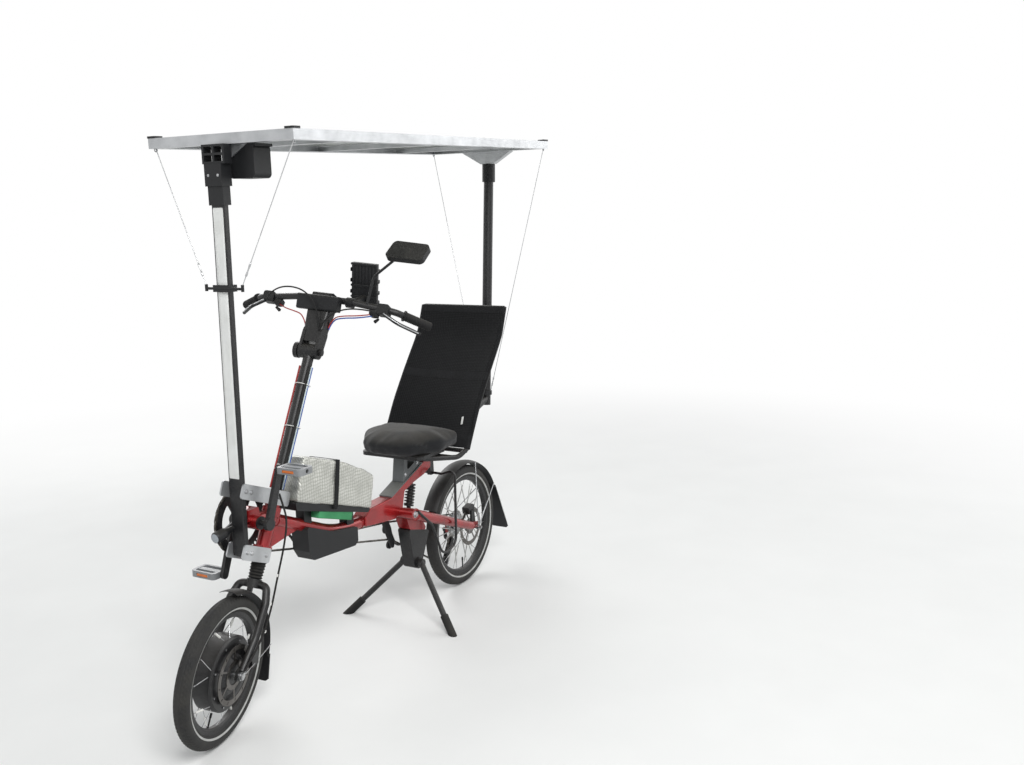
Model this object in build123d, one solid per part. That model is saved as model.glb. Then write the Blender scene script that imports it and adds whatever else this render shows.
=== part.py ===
"""Long-wheelbase recumbent bicycle with a solar roof, hub-motor front wheel and two-leg stand.

Units are millimetres. X points forward, Y to the bicycle's left, Z up from the ground.
The origin is on the ground, in the centre plane, under the middle of the whole outline.
"""
import math
import os

from build123d import *

# Wheels and steering
wheelbase = 1402
rear_hub_x = -648
rear_tyre_radius = 250
front_tyre_radius = 224
tyre_width = 47
rear_bead_radius = 203
front_bead_radius = 177.5
rim_depth = 17
rim_width = 26
head_angle = 64.0
fork_offset = 67.5
steer_angle = 14.0
rear_axle_half = 67.5
front_axle_half = 50
hub_motor_radius = 112
hub_motor_width = 62
spoke_radius = 1.0
front_disc_radius = 90
rear_disc_radius = 80
disc_thickness = 1.8
running_clearance = 0.05
seat_gap = 0.2

# Frame
tube_radius = 20
head_tube_radius = 22
steerer_radius = 14.3
head_low = 335
head_high = 515
bend_x = 185
bend_z = 476
bend_radius = 450
casting_half = 28
rail_front_x = -125
rail_front_z = 517
rail_rear_x = -335
rail_slope = 0.375
rail_thickness = 5
pivot_x = -178
pivot_z = 442
pivot_half = 92
arm_radius = 21
arm_end_radius = 17
arm_half_gap = 75
crank_x = 567
crank_z = 626
shell_radius = 22
shell_half = 34
cup_bore_radius = 8.6
crank_length = 172
crank_angle = 21.0
crank_arm_y = 68
pedal_length = 96
pedal_width = 62
pedal_gap = 4
pedal_axle_radius = 6.5

# Chain
chain_y = -45
chain_pitch = 12.7
chainring_teeth = 52
chain_height = 8.4
chain_width = 7.2
chain_groove = 3.4
sprocket_gap = 5.0
pulley_radius = 22

# Upright posts and roof
post_x = 620
post_z_low = 535
post_lean = 1.0
post_width = 48
post_depth = 19
post_length = 1090
clamp_height = 1337
rear_post_radius = 20
rear_post_foot_x = -884
rear_post_foot_z = 745
roof_front_x = 593
roof_length = 1562
roof_width = 548
roof_thickness = 30
roof_slope = 1.32
roof_front_z = 1771.0
plate_thickness = 5
plate_height = 46
stay_radius = 1.3

# Mast and handlebar, along the steering axis
mast_radius = 17
tilt_height = 1012
stem_length = 153
bar_rise = 31
stem_height = tilt_height + stem_length
bar_height = stem_height + bar_rise
bar_radius = 11.1
bar_half_width = 337
grip_radius = 15
grip_length = 92

# Seat
seat_half_width = 196
seat_tube_radius = 9.5
mesh_thickness = 4
cushion_low = 664
cushion_height = 72

# Battery box, from its lower front corner to its lower rear corner
box_front_x = 422
box_front_z = 652
box_rear_x = 36
box_rear_z = 523
box_half = 56

# Stand
stand_pivot_x = -282
stand_pivot_z = 210
stand_foot_x = -172
stand_foot_y = 238
leg_radius = 11
boot_radius = 15
boot_length = 80

rear_hub = Vector(rear_hub_x, 0, rear_tyre_radius)
head_sin = math.sin(math.radians(head_angle))
head_cos = math.cos(math.radians(head_angle))
axis_foot = Vector(
    rear_hub_x + wheelbase - fork_offset * head_sin,
    0,
    front_tyre_radius - fork_offset * head_cos,
)
axis_direction = Vector(-head_cos, 0, head_sin)
straight_plane = Plane(
    origin=axis_foot, x_dir=(head_sin, 0, head_cos), z_dir=axis_direction
)
steering_place = straight_plane.location * Location((0, 0, 0), (0, 0, steer_angle))
roof_rear_x = roof_front_x - roof_length
roof_centre_x = roof_front_x - roof_length / 2
rear_post_top_x = roof_rear_x + 5
nodes = {}


def joined(shapes):
    """One shape from several; those that do not touch stay separate solids."""
    whole = shapes[0]
    for shape in shapes[1:]:
        whole = whole + shape
    return whole


def rod(start, end, radius):
    """A straight round bar between two points."""
    start = Vector(*start)
    end = Vector(*end)
    plane = Plane(origin=start, z_dir=end - start)
    return plane * Cylinder(
        radius, (end - start).length, align=(Align.CENTER, Align.CENTER, Align.MIN)
    )


def bent(points, radius, bend):
    """A round bar bent along points, with one bend radius or one for each corner."""
    path = FilletPolyline(*points, radius=bend)
    profile = Plane(origin=path @ 0, z_dir=path % 0) * Circle(radius)
    return sweep(profile, path=path)


def across(radius, centre, y_from, y_to):
    """A round bar along Y."""
    return Pos(centre[0], (y_from + y_to) / 2, centre[1]) * Rot(90, 0, 0) * Cylinder(
        radius, abs(y_to - y_from)
    )


def side_plate(points, y_from, y_to):
    """A flat plate drawn by its corners in the X-Z plane, thick along Y."""
    face = Plane.XZ * make_face(Polyline(*points, close=True))
    return Pos(0, y_to, 0) * extrude(face, amount=y_to - y_from)


def rounded_plate(points, corner, y_from, y_to):
    """A side plate whose corners are rounded."""
    plate = side_plate(points, y_from, y_to)
    return fillet(plate.edges().filter_by(Axis.Y), corner)


def turned(profile_points):
    """A ring turned about the Y axis from corners given as (radius, y)."""
    face = make_face(Polyline(*profile_points, close=True))
    return revolve(face, axis=Axis.Y)


def tyre(radius, bead_radius):
    """A tyre: straight lower walls, a flat inner face and a crown turned in bands."""
    half = tyre_width / 2
    crown = radius - half
    bead_half = rim_width / 2
    outline = [(bead_radius + seat_gap, -bead_half), (bead_radius + seat_gap, bead_half)]
    bands = 6
    for band in range(bands + 1):
        angle = math.pi * band / bands
        outline.append((crown + half * math.sin(angle), half * math.cos(angle)))
    return turned(outline)


def rim(bead_radius):
    """A box-section rim with a shallow well."""
    half = rim_width / 2
    inner = bead_radius - rim_depth
    return turned(
        [
            (bead_radius, -half),
            (bead_radius, half),
            (inner + 5, half - 2),
            (inner, 6),
            (inner, -6),
            (inner + 5, -half + 2),
        ]
    )


def spokes(flange_radius, flange_y, rim_radius, count, cross_angle):
    """Laced spokes: each flange's spokes lean forward and back in turn."""
    laced = []
    for number in range(count):
        side = 1 if number % 2 else -1
        lean = 1 if number % 4 < 2 else -1
        rim_angle = 2 * math.pi * number / count
        hub_angle = rim_angle - lean * math.radians(cross_angle)
        hub_y = side * (flange_y + 2.2 * lean)
        start = (flange_radius * math.cos(hub_angle), hub_y, flange_radius * math.sin(hub_angle))
        end = (rim_radius * math.cos(rim_angle), side * 3, rim_radius * math.sin(rim_angle))
        laced.append(rod(start, end, spoke_radius))
    return laced


def brake_disc(radius, bolt_radius, side_y):
    """A disc with a slotted brake track and six curved-in arms, drawn as straight arms."""
    ring = Cylinder(radius, disc_thickness) - Cylinder(radius - 16, disc_thickness)
    centre = Cylinder(bolt_radius + 7, disc_thickness) - Cylinder(bolt_radius - 7, disc_thickness)
    disc = ring + centre
    for number in range(6):
        reach = radius - 14 - bolt_radius
        arm = Pos(bolt_radius + reach / 2, 0, 0) * Box(reach + 8, 6, disc_thickness)
        disc += Rot(0, 0, 60 * number) * Pos(0, 6, 0) * arm
    for number in range(12):
        slot = Pos(radius - 8, 0, 0) * Rot(0, 0, 30) * Box(9, 3.5, 2 * disc_thickness)
        disc -= Rot(0, 0, 30 * number) * slot
    return Pos(0, side_y, 0) * Rot(90, 0, 0) * disc


def fender(inner_radius, half_width, start_angle, sweep_angle):
    """A curved mudguard strip about the Y axis; angles run from forward up and over."""
    thickness = 2
    low = inner_radius - 8
    with BuildSketch() as section:
        with BuildLine():
            ThreePointArc((low, -half_width), (inner_radius, 0), (low, half_width))
            Line((low, half_width), (low + thickness, half_width))
            ThreePointArc(
                (low + thickness, half_width), (inner_radius + thickness, 0), (low + thickness, -half_width)
            )
            Line((low + thickness, -half_width), (low, -half_width))
        make_face()
    strip = revolve(section.sketch, axis=Axis.Y, revolution_arc=sweep_angle)
    return Rot(0, -start_angle - sweep_angle, 0) * strip


def guard_flap(inner_radius, end_angle, length, top_half, low_half):
    """A flat flap that carries on from a mudguard's end and widens to its free edge."""
    angle = math.radians(end_angle)
    outward = Vector(math.cos(angle), 0, math.sin(angle))
    along = Vector(-math.sin(angle), 0, math.cos(angle))
    plane = Plane(origin=outward * (inner_radius - 4), x_dir=along, z_dir=outward)
    outline = Polyline(
        (-8, -top_half), (length - 8, -low_half), (length, -low_half + 8),
        (length, low_half - 8), (length - 8, low_half), (-8, top_half), close=True,
    )
    return plane * extrude(make_face(outline), amount=5)


def belt_points(circles, offset):
    """Lines and arcs round circles given as (x, z, radius, turn); turn +1 is anticlockwise."""
    count = len(circles)
    touches = []
    for index in range(count):
        x1, z1, r1, t1 = circles[index]
        x2, z2, r2, t2 = circles[(index + 1) % count]
        r1 = r1 + t1 * offset
        r2 = r2 + t2 * offset
        gap = math.hypot(x2 - x1, z2 - z1)
        heading = math.atan2(z2 - z1, x2 - x1)
        heading += math.asin((t1 * r1 - t2 * r2) / gap)
        normal = (math.sin(heading), -math.cos(heading))
        leave = (x1 + t1 * r1 * normal[0], z1 + t1 * r1 * normal[1])
        arrive = (x2 + t2 * r2 * normal[0], z2 + t2 * r2 * normal[1])
        touches.append((leave, arrive))
    return touches


def belt_face(circles, offset):
    """The closed face inside a belt round the circles, moved outward by offset."""
    touches = belt_points(circles, offset)
    edges = []
    count = len(circles)
    for index in range(count):
        leave, arrive = touches[index]
        edges.append(Line(leave, arrive))
        x, z, radius, turn = circles[(index + 1) % count]
        next_leave = touches[(index + 1) % count][0]
        start = math.atan2(arrive[1] - z, arrive[0] - x)
        end = math.atan2(next_leave[1] - z, next_leave[0] - x)
        span = (end - start) * turn % (2 * math.pi)
        middle = start + turn * span / 2
        reach = radius + turn * offset
        halfway = (x + reach * math.cos(middle), z + reach * math.sin(middle))
        edges.append(ThreePointArc(arrive, halfway, next_leave))
    return Plane.XZ * make_face(Wire(edges))


def link_plate(circles, y_from, y_to):
    """A flat link whose outline wraps round circles given as (x, z, radius, turn)."""
    return Pos(0, y_to, 0) * extrude(belt_face(circles, 0), amount=y_to - y_from)


def toothed_disc(teeth, tip_reach, root_reach, thickness):
    """A disc in the X-Y plane with one trapezoid tooth for each chain pitch."""
    radius = teeth * chain_pitch / (2 * math.pi)
    step = 2 * math.pi / teeth
    outline = []
    for number in range(teeth):
        for share, reach in ((-0.32, -root_reach), (-0.12, tip_reach), (0.12, tip_reach), (0.32, -root_reach)):
            angle = (number + share) * step
            outline.append(((radius + reach) * math.cos(angle), (radius + reach) * math.sin(angle)))
    return extrude(make_face(Polyline(*outline, close=True)), amount=thickness)


def rail_z(x):
    """Height of the seat rail's top face at a place along X."""
    return rail_front_z + rail_slope * (rail_front_x - x)


# Frame weldment
def make_frame():
    head_top = straight_plane.from_local_coords((0, 0, head_high))
    head_bottom = straight_plane.from_local_coords((0, 0, head_low))
    head_middle = straight_plane.from_local_coords((0, 0, head_high - 50))
    main = bent(
        [
            (head_middle.X, 0, head_middle.Z),
            (bend_x, 0, bend_z),
            (-40, 0, bend_z - 18),
        ],
        tube_radius,
        bend_radius,
    )
    frame = main + rod(head_bottom, head_top, head_tube_radius)
    for low in (head_low, head_high - 12):
        collar = Pos(0, 0, low) * Cylinder(
            head_tube_radius + 2, 12, align=(Align.CENTER, Align.CENTER, Align.MIN)
        )
        frame += straight_plane.location * collar
    for middle in (head_low + 30, head_high - 28):
        lug = Box(44, post_width, 30)
        lug = fillet(lug.edges().filter_by(Axis.Z), 9)
        frame += straight_plane.location * Pos(0, 0, middle) * lug
    frame += rod((crank_x, 0, crank_z), (head_middle.X, 0, crank_z), 19)
    frame += across(shell_radius, (crank_x, crank_z), -shell_half, shell_half)
    frame += rounded_plate(
        [
            (crank_x - 18, crank_z + 10),
            (crank_x + 37, crank_z + 10),
            (crank_x + 33, crank_z + 45),
            (crank_x - 14, crank_z + 45),
        ],
        5,
        -19,
        19,
    )
    frame += side_plate(
        [
            (head_bottom.X + 4, head_bottom.Z + 20),
            (head_middle.X, head_middle.Z),
            (head_middle.X - 150, head_middle.Z - 66),
        ],
        -7,
        7,
    )
    casting = rounded_plate(
        [
            (38, bend_z - 24),
            (38, bend_z + 9),
            (5, rail_front_z - 9),
            (rail_front_x, rail_z(rail_front_x) - rail_thickness),
            (rail_rear_x, rail_z(rail_rear_x) - rail_thickness),
            (rail_rear_x - 57, rail_z(rail_rear_x) + 12),
            (rail_rear_x - 57, rail_z(rail_rear_x) - 31),
            (-346, 546),
            (-276, 533),
            (-210, 515),
            (pivot_x - 14, pivot_z + 6),
            (pivot_x + 36, pivot_z - 17),
            (0, bend_z - 31),
        ],
        5,
        -casting_half,
        casting_half,
    )
    long_edges = casting.faces().sort_by(Axis.Y)[0].edges() + casting.faces().sort_by(Axis.Y)[-1].edges()
    frame += fillet(long_edges, 4)
    frame += across(19, (pivot_x, pivot_z), -40, 40)
    bore = rod(
        straight_plane.from_local_coords((0, 0, head_low - 10)),
        straight_plane.from_local_coords((0, 0, head_high + 10)),
        steerer_radius + running_clearance,
    )
    frame -= bore
    frame -= across(16, (crank_x, crank_z), -shell_half - 1, shell_half + 1)
    return frame


nodes["frame"] = make_frame()

cartridge = across(16, (crank_x, crank_z), -shell_half, shell_half)
for side in (-1, 1):
    cartridge += across(20, (crank_x, crank_z), side * shell_half, side * (shell_half + 5))
cartridge -= across(cup_bore_radius, (crank_x, crank_z), -60, 60)
nodes["bottom_bracket"] = cartridge


# Rear swingarm: two tapered arms, dropouts, and a yoke that reaches down to the stand
def make_swingarm():
    arm = across(20, (pivot_x, pivot_z), -pivot_half, -41)
    arm += across(20, (pivot_x, pivot_z), 41, pivot_half)
    dropout_points = [
        (rear_hub_x - 20, rear_tyre_radius - 14),
        (rear_hub_x - 20, rear_tyre_radius + 18),
        (rear_hub_x + 70, rear_tyre_radius + 36),
        (rear_hub_x + 70, rear_tyre_radius + 14),
    ]
    for side in (-1, 1):
        start = Vector(pivot_x, side * arm_half_gap, pivot_z)
        end = Vector(rear_hub_x + 52, side * (arm_half_gap + 3), rear_tyre_radius + 20)
        arm += Plane(origin=start, z_dir=end - start) * Cone(
            arm_radius,
            arm_end_radius,
            (end - start).length,
            align=(Align.CENTER, Align.CENTER, Align.MIN),
        )
        arm += rounded_plate(dropout_points, 6, side * 70 - 3, side * 70 + 3)
    arm += rounded_plate(
        [
            (rear_hub_x - 16, rear_tyre_radius - 8),
            (rear_hub_x + 12, rear_tyre_radius - 8),
            (rear_hub_x + 8, rear_tyre_radius - 46),
            (rear_hub_x - 14, rear_tyre_radius - 46),
        ],
        4,
        -73,
        -67,
    )
    arm += across(15, (pivot_x - 84, pivot_z - 35), -arm_half_gap, arm_half_gap)
    arm += rounded_plate(
        [
            (pivot_x - 28, pivot_z - 10),
            (pivot_x - 122, pivot_z - 38),
            (pivot_x - 174, pivot_z - 120),
            (pivot_x - 58, pivot_z - 86),
        ],
        8,
        -26,
        26,
    )
    arm -= across(6, (rear_hub_x, rear_tyre_radius), -120, 120)
    return arm


nodes["swingarm"] = make_swingarm()


# Rear shock between the frame and the yoke
def make_shock():
    low = Vector(pivot_x - 88, 0, pivot_z - 22)
    high = Vector(pivot_x - 118, 0, pivot_z + 96)
    span = high - low
    body = rod(low, high, 9)
    for share in (0.24, 0.37, 0.5, 0.63, 0.76):
        body += Plane(origin=low + span * share, z_dir=span) * Cylinder(19, 7)
    return body - nodes["frame"] - nodes["swingarm"]


nodes["rear_shock"] = make_shock()


# Seat rail: a flat strip on the frame, and the block that carries the seat
def make_rail():
    rail = side_plate(
        [
            (rail_front_x, rail_z(rail_front_x)),
            (rail_rear_x, rail_z(rail_rear_x)),
            (rail_rear_x, rail_z(rail_rear_x) - rail_thickness),
            (rail_front_x, rail_z(rail_front_x) - rail_thickness),
        ],
        -casting_half,
        casting_half,
    )
    pan_low = cushion_low - seat_gap - 14
    block = rounded_plate(
        [
            (-205, rail_z(-205) - 2),
            (-318, rail_z(-318) - 2),
            (-312, pan_low),
            (-222, pan_low),
        ],
        4,
        -24,
        24,
    )
    window = rounded_plate([(-236, 588), (-284, 606), (-284, 634), (-240, 634)], 6, -30, 30)
    return rail + (block - window) - nodes["frame"]


nodes["seat_rail"] = make_rail()


# Seat: bent side tubes, cross tubes, mesh and cushion
back_line = [(-404, 650), (-440, 715), (-491, 802), (-576, 917), (-681, 1049), (-722, 1156)]


def make_seat_frame():
    y = seat_half_width - seat_tube_radius
    tubes = []
    for side in (-1, 1):
        points = [(x - 6, side * y, z) for x, z in reversed(back_line)]
        points += [(-360, side * (y - 12), 624), (-210, side * 120, 647)]
        tubes.append(bent(points, seat_tube_radius, [60, 60, 60, 60, 35, 60]))
    for x, z, half in ((-728, 1152, y), (-400, 640, y), (-335, 628, 165)):
        tubes.append(rod((x, -half, z), (x, half, z), seat_tube_radius - 1))
    pan = Pos(-255, 0, cushion_low - seat_gap - 7) * Box(180, 268, 14)
    tubes.append(fillet(pan.edges().filter_by(Axis.Z), 24))
    return joined(tubes) - nodes["seat_rail"]


nodes["seat_frame"] = make_seat_frame()


def make_mesh():
    front = [(x + 6, z) for x, z in back_line]
    back = [(x + 6 - mesh_thickness, z) for x, z in reversed(back_line)]
    sheet = side_plate(front + back, -seat_half_width, seat_half_width)
    return sheet - nodes["seat_frame"]


nodes["seat_mesh"] = make_mesh()


def make_cushion():
    outline = Polyline(
        (-382, -170), (-250, -180), (-140, -108), (-116, -60), (-112, 0),
        (-116, 60), (-140, 108), (-250, 180), (-382, 170), close=True,
    )
    cushion = Pos(0, 0, cushion_low) * extrude(make_face(outline), amount=cushion_height)
    cushion = fillet(cushion.edges().group_by(Axis.Z)[-1], 22)
    return cushion - nodes["seat_frame"] - nodes["seat_mesh"]


nodes["seat_cushion"] = make_cushion()

# Rear boom behind the seat, and the rear post that it carries
boom_start = Vector(rail_rear_x - 20, 0, rail_z(rail_rear_x) - 2)
boom_end = Vector(rear_post_foot_x, 0, rear_post_foot_z)
boom = Plane(origin=boom_start, z_dir=boom_end - boom_start) * Cone(
    20, 17, (boom_end - boom_start).length, align=(Align.CENTER, Align.CENTER, Align.MIN)
)
boom += Plane(origin=boom_start + (boom_end - boom_start) * 0.09, z_dir=boom_end - boom_start) * Cylinder(22, 50)
rear_post = rod(
    (rear_post_foot_x, 0, rear_post_foot_z - 30), (rear_post_top_x, 0, 1700), rear_post_radius
)
nodes["rear_post"] = rear_post
nodes["rear_boom"] = boom - nodes["frame"] - rear_post

stays = []
for side in (-1, 1):
    stays.append(rod((-584, side * (seat_half_width - 12), 912), (-690, side * 8, 690), 6))
seat_stays = joined(stays) - nodes["rear_boom"] - nodes["seat_mesh"]
nodes["seat_frame"] = nodes["seat_frame"] + seat_stays

# Roof
roof_top_z = roof_front_z + roof_length / 2 * math.tan(math.radians(roof_slope))
roof_place = Pos(roof_centre_x, 0, roof_top_z) * Rot(0, roof_slope, 0)
rail_width = 12


def roof_underside(x):
    """Height of the roof's lower face at a place along X."""
    return roof_top_z - roof_thickness - (x - roof_centre_x) * math.tan(math.radians(roof_slope))


def make_roof_frame():
    outer = Pos(0, 0, -roof_thickness / 2) * Box(roof_length, roof_width, roof_thickness)
    inner = Pos(0, 0, -roof_thickness / 2) * Box(
        roof_length - 2 * rail_width, roof_width - 2 * rail_width, roof_thickness
    )
    frame = outer - inner
    lip = Pos(0, 0, -roof_thickness + 1) * Box(roof_length - 4, roof_width - 4, 2)
    lip -= Pos(0, 0, -roof_thickness + 1) * Box(roof_length - 70, roof_width - 70, 2)
    frame += lip
    for share in (-0.32, 0.0, 0.32):
        frame += Pos(share * roof_length, 0, -20) * Box(30, roof_width - 20, 16)
    return roof_place * frame


nodes["roof_frame"] = make_roof_frame()
nodes["solar_panel"] = roof_place * Pos(0, 0, -6) * Box(
    roof_length - 2 * rail_width, roof_width - 2 * rail_width, 8
)

corners = []
for side_x in (-1, 1):
    for side_y in (-1, 1):
        block = Pos(side_x * (roof_length / 2 - 14), side_y * (roof_width / 2 - 14), 3) * Box(34, 34, 6)
        corners.append(fillet(block.edges().filter_by(Axis.Z), 6))
nodes["roof_corners"] = roof_place * joined(corners)

# Front post, and the black fittings on both posts
post_place = Pos(post_x, 0, post_z_low) * Rot(0, -post_lean, 0)
front_post = Box(post_depth, post_width, post_length, align=(Align.CENTER, Align.CENTER, Align.MIN))
nodes["front_post"] = post_place * fillet(front_post.edges().filter_by(Axis.Z), 3)


def post_centre_x(z):
    """X of the front post's middle at a height."""
    return post_x - (z - post_z_low) * math.tan(math.radians(post_lean))


def make_front_bracket():
    x = post_centre_x(post_z_low + post_length)
    top = roof_underside(roof_front_x - 2) - seat_gap
    low = post_z_low + post_length - 53
    sleeve = Pos(x, 0, low) * Box(30, 56, 60, align=(Align.CENTER, Align.CENTER, Align.MIN))
    socket = Pos(x, 0, low + 53) * Box(40, 64, 62, align=(Align.CENTER, Align.CENTER, Align.MIN))
    frame_low = low + 115
    frame_height = top - frame_low
    frame = Pos(x, 0, frame_low) * Box(
        30, 84, frame_height, align=(Align.CENTER, Align.CENTER, Align.MIN)
    )
    for y in (-19, 19):
        for share in (0.28, 0.72):
            frame -= Pos(x, y, frame_low + frame_height * share) * Box(40, 30, frame_height * 0.32)
    return sleeve + socket + frame - nodes["front_post"]


def make_stay_clamp():
    """A ring round the front post with an arm to each side and a hook at each end."""
    x = post_centre_x(clamp_height)
    clamp = Pos(x, 0, clamp_height) * Box(post_depth + 14, post_width + 14, 20)
    clamp += across(4, (x + 14, clamp_height), clamp_right_y, clamp_left_y)
    for y in (clamp_right_y, clamp_left_y):
        clamp += rod((x + 14, y, clamp_height - 8), (x + 14, y, clamp_height + 12), 4.5)
    return clamp - nodes["front_post"]


clamp_right_y = -58
clamp_left_y = 80
rear_clamp_z = rear_post_foot_z + 14


def make_rear_fittings():
    top = roof_underside(rear_post_top_x) - seat_gap - 50
    socket = rod((rear_post_top_x + 3, 0, 1654), (rear_post_top_x - 1, 0, top), 27)
    ring = rod((rear_post_foot_x, 0, rear_clamp_z), (rear_post_foot_x - 1.5, 0, rear_clamp_z + 18), 27)
    return socket + ring - rear_post


nodes["post_fittings"] = make_front_bracket() + make_stay_clamp() + make_rear_fittings()


def make_roof_gussets():
    """Pale sheet gussets under the roof: a wide one at the rear post, a small one in front."""
    top = roof_underside(rear_post_top_x + 15) - seat_gap
    rear = Plane.YZ * make_face(
        Polyline((-118, top), (112, top), (30, top - 49), (-30, top - 49), close=True)
    )
    rear = Pos(rear_post_top_x - 15, 0, 0) * extrude(rear, amount=30)
    front_top = roof_underside(regulator_x + 44) - seat_gap
    front = Plane.YZ * make_face(
        Polyline((12, front_top), (84, front_top), (12, front_top - 44), close=True)
    )
    front = Pos(regulator_x + 36, 0, 0) * extrude(front, amount=3)
    return rear + front - nodes["post_fittings"] - rear_post


regulator_x = 530
nodes["roof_brackets"] = make_roof_gussets()
regulator_top = roof_underside(regulator_x + 35) - seat_gap
regulator = Pos(regulator_x, 57, regulator_top - 48) * Box(70, 94, 96)
regulator = fillet(regulator.edges().filter_by(Axis.X), 14)
regulator += Pos(regulator_x, 57, regulator_top - 4) * Box(72, 110, 8)
nodes["roof_regulator"] = regulator - nodes["roof_frame"]

stay_lines = []
front_hook_x = post_centre_x(clamp_height) + 14
for end_x, end_y, low_x, low_y, low_z in (
    (roof_front_x - 16, -roof_width / 2 + 12, front_hook_x, clamp_right_y, clamp_height + 8),
    (roof_front_x - 16, roof_width / 2 - 12, front_hook_x, clamp_left_y, clamp_height + 8),
    (roof_rear_x + 16, -roof_width / 2 + 12, rear_post_foot_x, -24, rear_clamp_z + 9),
    (roof_rear_x + 16, roof_width / 2 - 12, rear_post_foot_x, 24, rear_clamp_z + 9),
):
    stay_lines.append(rod((low_x, low_y, low_z), (end_x, end_y, roof_underside(end_x) + 1), stay_radius))
nodes["roof_stays"] = joined(stay_lines) - nodes["post_fittings"] - nodes["roof_frame"]


# Aluminium plates that hold the front post to the head
def strap_plate(x_front, z_front, x_back, z_back, y_low):
    """A flat strap with rounded corners between two points, and its two bolt heads."""
    length = math.hypot(x_front - x_back, z_front - z_back)
    angle = math.degrees(math.atan2(z_front - z_back, x_front - x_back))
    strap = extrude(RectangleRounded(length, plate_height, 9), amount=plate_thickness)
    middle = ((x_front + x_back) / 2, y_low + plate_thickness, (z_front + z_back) / 2)
    return Pos(*middle) * Rot(0, -angle, 0) * Rot(90, 0, 0) * strap


plate_rows = [
    # front X, front Z, back X, back Z, side
    (628, 741, 425, 659, 1),
    (655, 752, 425, 659, -1),
    (641, 556, 528, 507, 1),
    (648, 560, 528, 507, -1),
]
plate_inner = post_width / 2 + 0.3
straps = []
for x_front, z_front, x_back, z_back, side in plate_rows:
    y_low = min(side * plate_inner, side * (plate_inner + plate_thickness))
    straps.append(strap_plate(x_front, z_front, x_back, z_back, y_low))
straps.append(across(6, (433, 662), -plate_inner, plate_inner))
nodes["post_plates"] = joined(straps)

# Battery box on its base, which two blocks hold above the main tube
base_slope = (box_front_z - box_rear_z) / (box_front_x - box_rear_x)


def base_z(x):
    """Height of the battery base's top face at a place along X."""
    return box_rear_z + base_slope * (x - box_rear_x)


box = side_plate(
    [
        (box_front_x, box_front_z),
        (box_front_x - 51, box_front_z + 135),
        (187, 729),
        (59, 666),
        (14, box_rear_z + 114),
        (box_rear_x, box_rear_z),
    ],
    -box_half,
    box_half,
)
box = fillet(box.edges().filter_by(Axis.Y), 10)
box_sides = box.faces().sort_by(Axis.Y)
nodes["battery_box"] = fillet(box_sides[0].edges() + box_sides[-1].edges(), 7)
base = rounded_plate(
    [
        (box_front_x, base_z(box_front_x) - seat_gap),
        (box_rear_x, box_rear_z - seat_gap),
        (box_rear_x + 14, box_rear_z - 12),
        (box_front_x - 4, box_front_z - 30),
    ],
    4,
    -50,
    50,
)
for x in (110, 330):
    block_top = base_z(x) - 14
    base += Pos(x, 0, block_top) * Box(36, 34, 60, align=(Align.CENTER, Align.CENTER, Align.MAX))
nodes["battery_base"] = base - nodes["frame"] - nodes["battery_box"]
controller = rounded_plate(
    [(355, 548), (352, 462), (330, 427), (110, 407), (93, 420), (93, 470), (225, 494)], 8, -34, 34
)
nodes["controller"] = controller - nodes["frame"]

# Chain drive
ring_radius = chainring_teeth * chain_pitch / (2 * math.pi)
sprocket_teeth = (11, 12, 14, 16, 18, 21, 24, 28)
working_sprocket = len(sprocket_teeth) // 2
sprocket_radius = sprocket_teeth[working_sprocket] * chain_pitch / (2 * math.pi)
upper_pulley = (rear_hub_x + 14, rear_tyre_radius - 72)
lower_pulley = (rear_hub_x + 60, rear_tyre_radius - 144)
chain_circles = [
    # X, Z, radius at the chain's centre line, turn
    (crank_x, crank_z, ring_radius, 1),
    (312, 500, 28, -1),
    (-180, 368, 24, 1),
    (rear_hub_x, rear_tyre_radius, sprocket_radius, 1),
    (upper_pulley[0], upper_pulley[1], pulley_radius, -1),
    (lower_pulley[0], lower_pulley[1], pulley_radius, 1),
    (-196, 300, 20, -1),
]


def make_chain():
    outer = belt_face(chain_circles, chain_height / 2)
    inner = belt_face(chain_circles, -chain_height / 2)
    groove = belt_face(chain_circles, chain_height / 2 - 0.7)
    band = extrude(outer, amount=chain_width) - extrude(inner, amount=chain_width)
    channel = extrude(groove, amount=chain_groove) - extrude(inner, amount=chain_groove)
    band = Pos(0, chain_y + chain_width / 2, 0) * band
    channel = Pos(0, chain_y + chain_groove / 2, 0) * channel
    return band - channel


nodes["chain"] = make_chain()

idlers = []
for x, z, radius, turn in (chain_circles[1], chain_circles[2], chain_circles[6]):
    idlers.append(across(radius - chain_height / 2 - 0.2, (x, z), chain_y - 4, chain_y + 4))
    idlers.append(across(6, (x, z), chain_y - 8, -28))
idlers.append(link_plate([(312, 500, 11, 1), (318, 545, 15, 1)], -38, -33))
idlers.append(link_plate([(-140, 440, 15, 1), (-180, 368, 10, 1), (-196, 300, 10, 1)], -36, -casting_half))
idler_set = joined(idlers) - nodes["frame"] - nodes["swingarm"] - nodes["controller"]
nodes["chain_idlers"] = idler_set

cage = []
for x, z in (upper_pulley, lower_pulley):
    cage.append(across(pulley_radius - chain_height / 2 - 0.2, (x, z), chain_y - 3, chain_y + 3))
    cage.append(across(4, (x, z), chain_y - 9, chain_y + 9))
for y in (chain_y - 9, chain_y + 7):
    cage.append(link_plate([(*upper_pulley, 12, 1), (*lower_pulley, 12, 1)], y, y + 2))
arm_low = Vector(upper_pulley[0] - 12, -79, upper_pulley[1] + 6)
arm_high = Vector(rear_hub_x - 4, -82, rear_tyre_radius - 34)
cage.append(rod((upper_pulley[0], -50, upper_pulley[1] - 2), arm_low, 8))
cage.append(rod(arm_low, arm_high, 8))
cage.append(across(9, (arm_high.X, arm_high.Z), -90, -73))
nodes["rear_derailleur"] = joined(cage) - nodes["swingarm"] - nodes["chain"]

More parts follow.
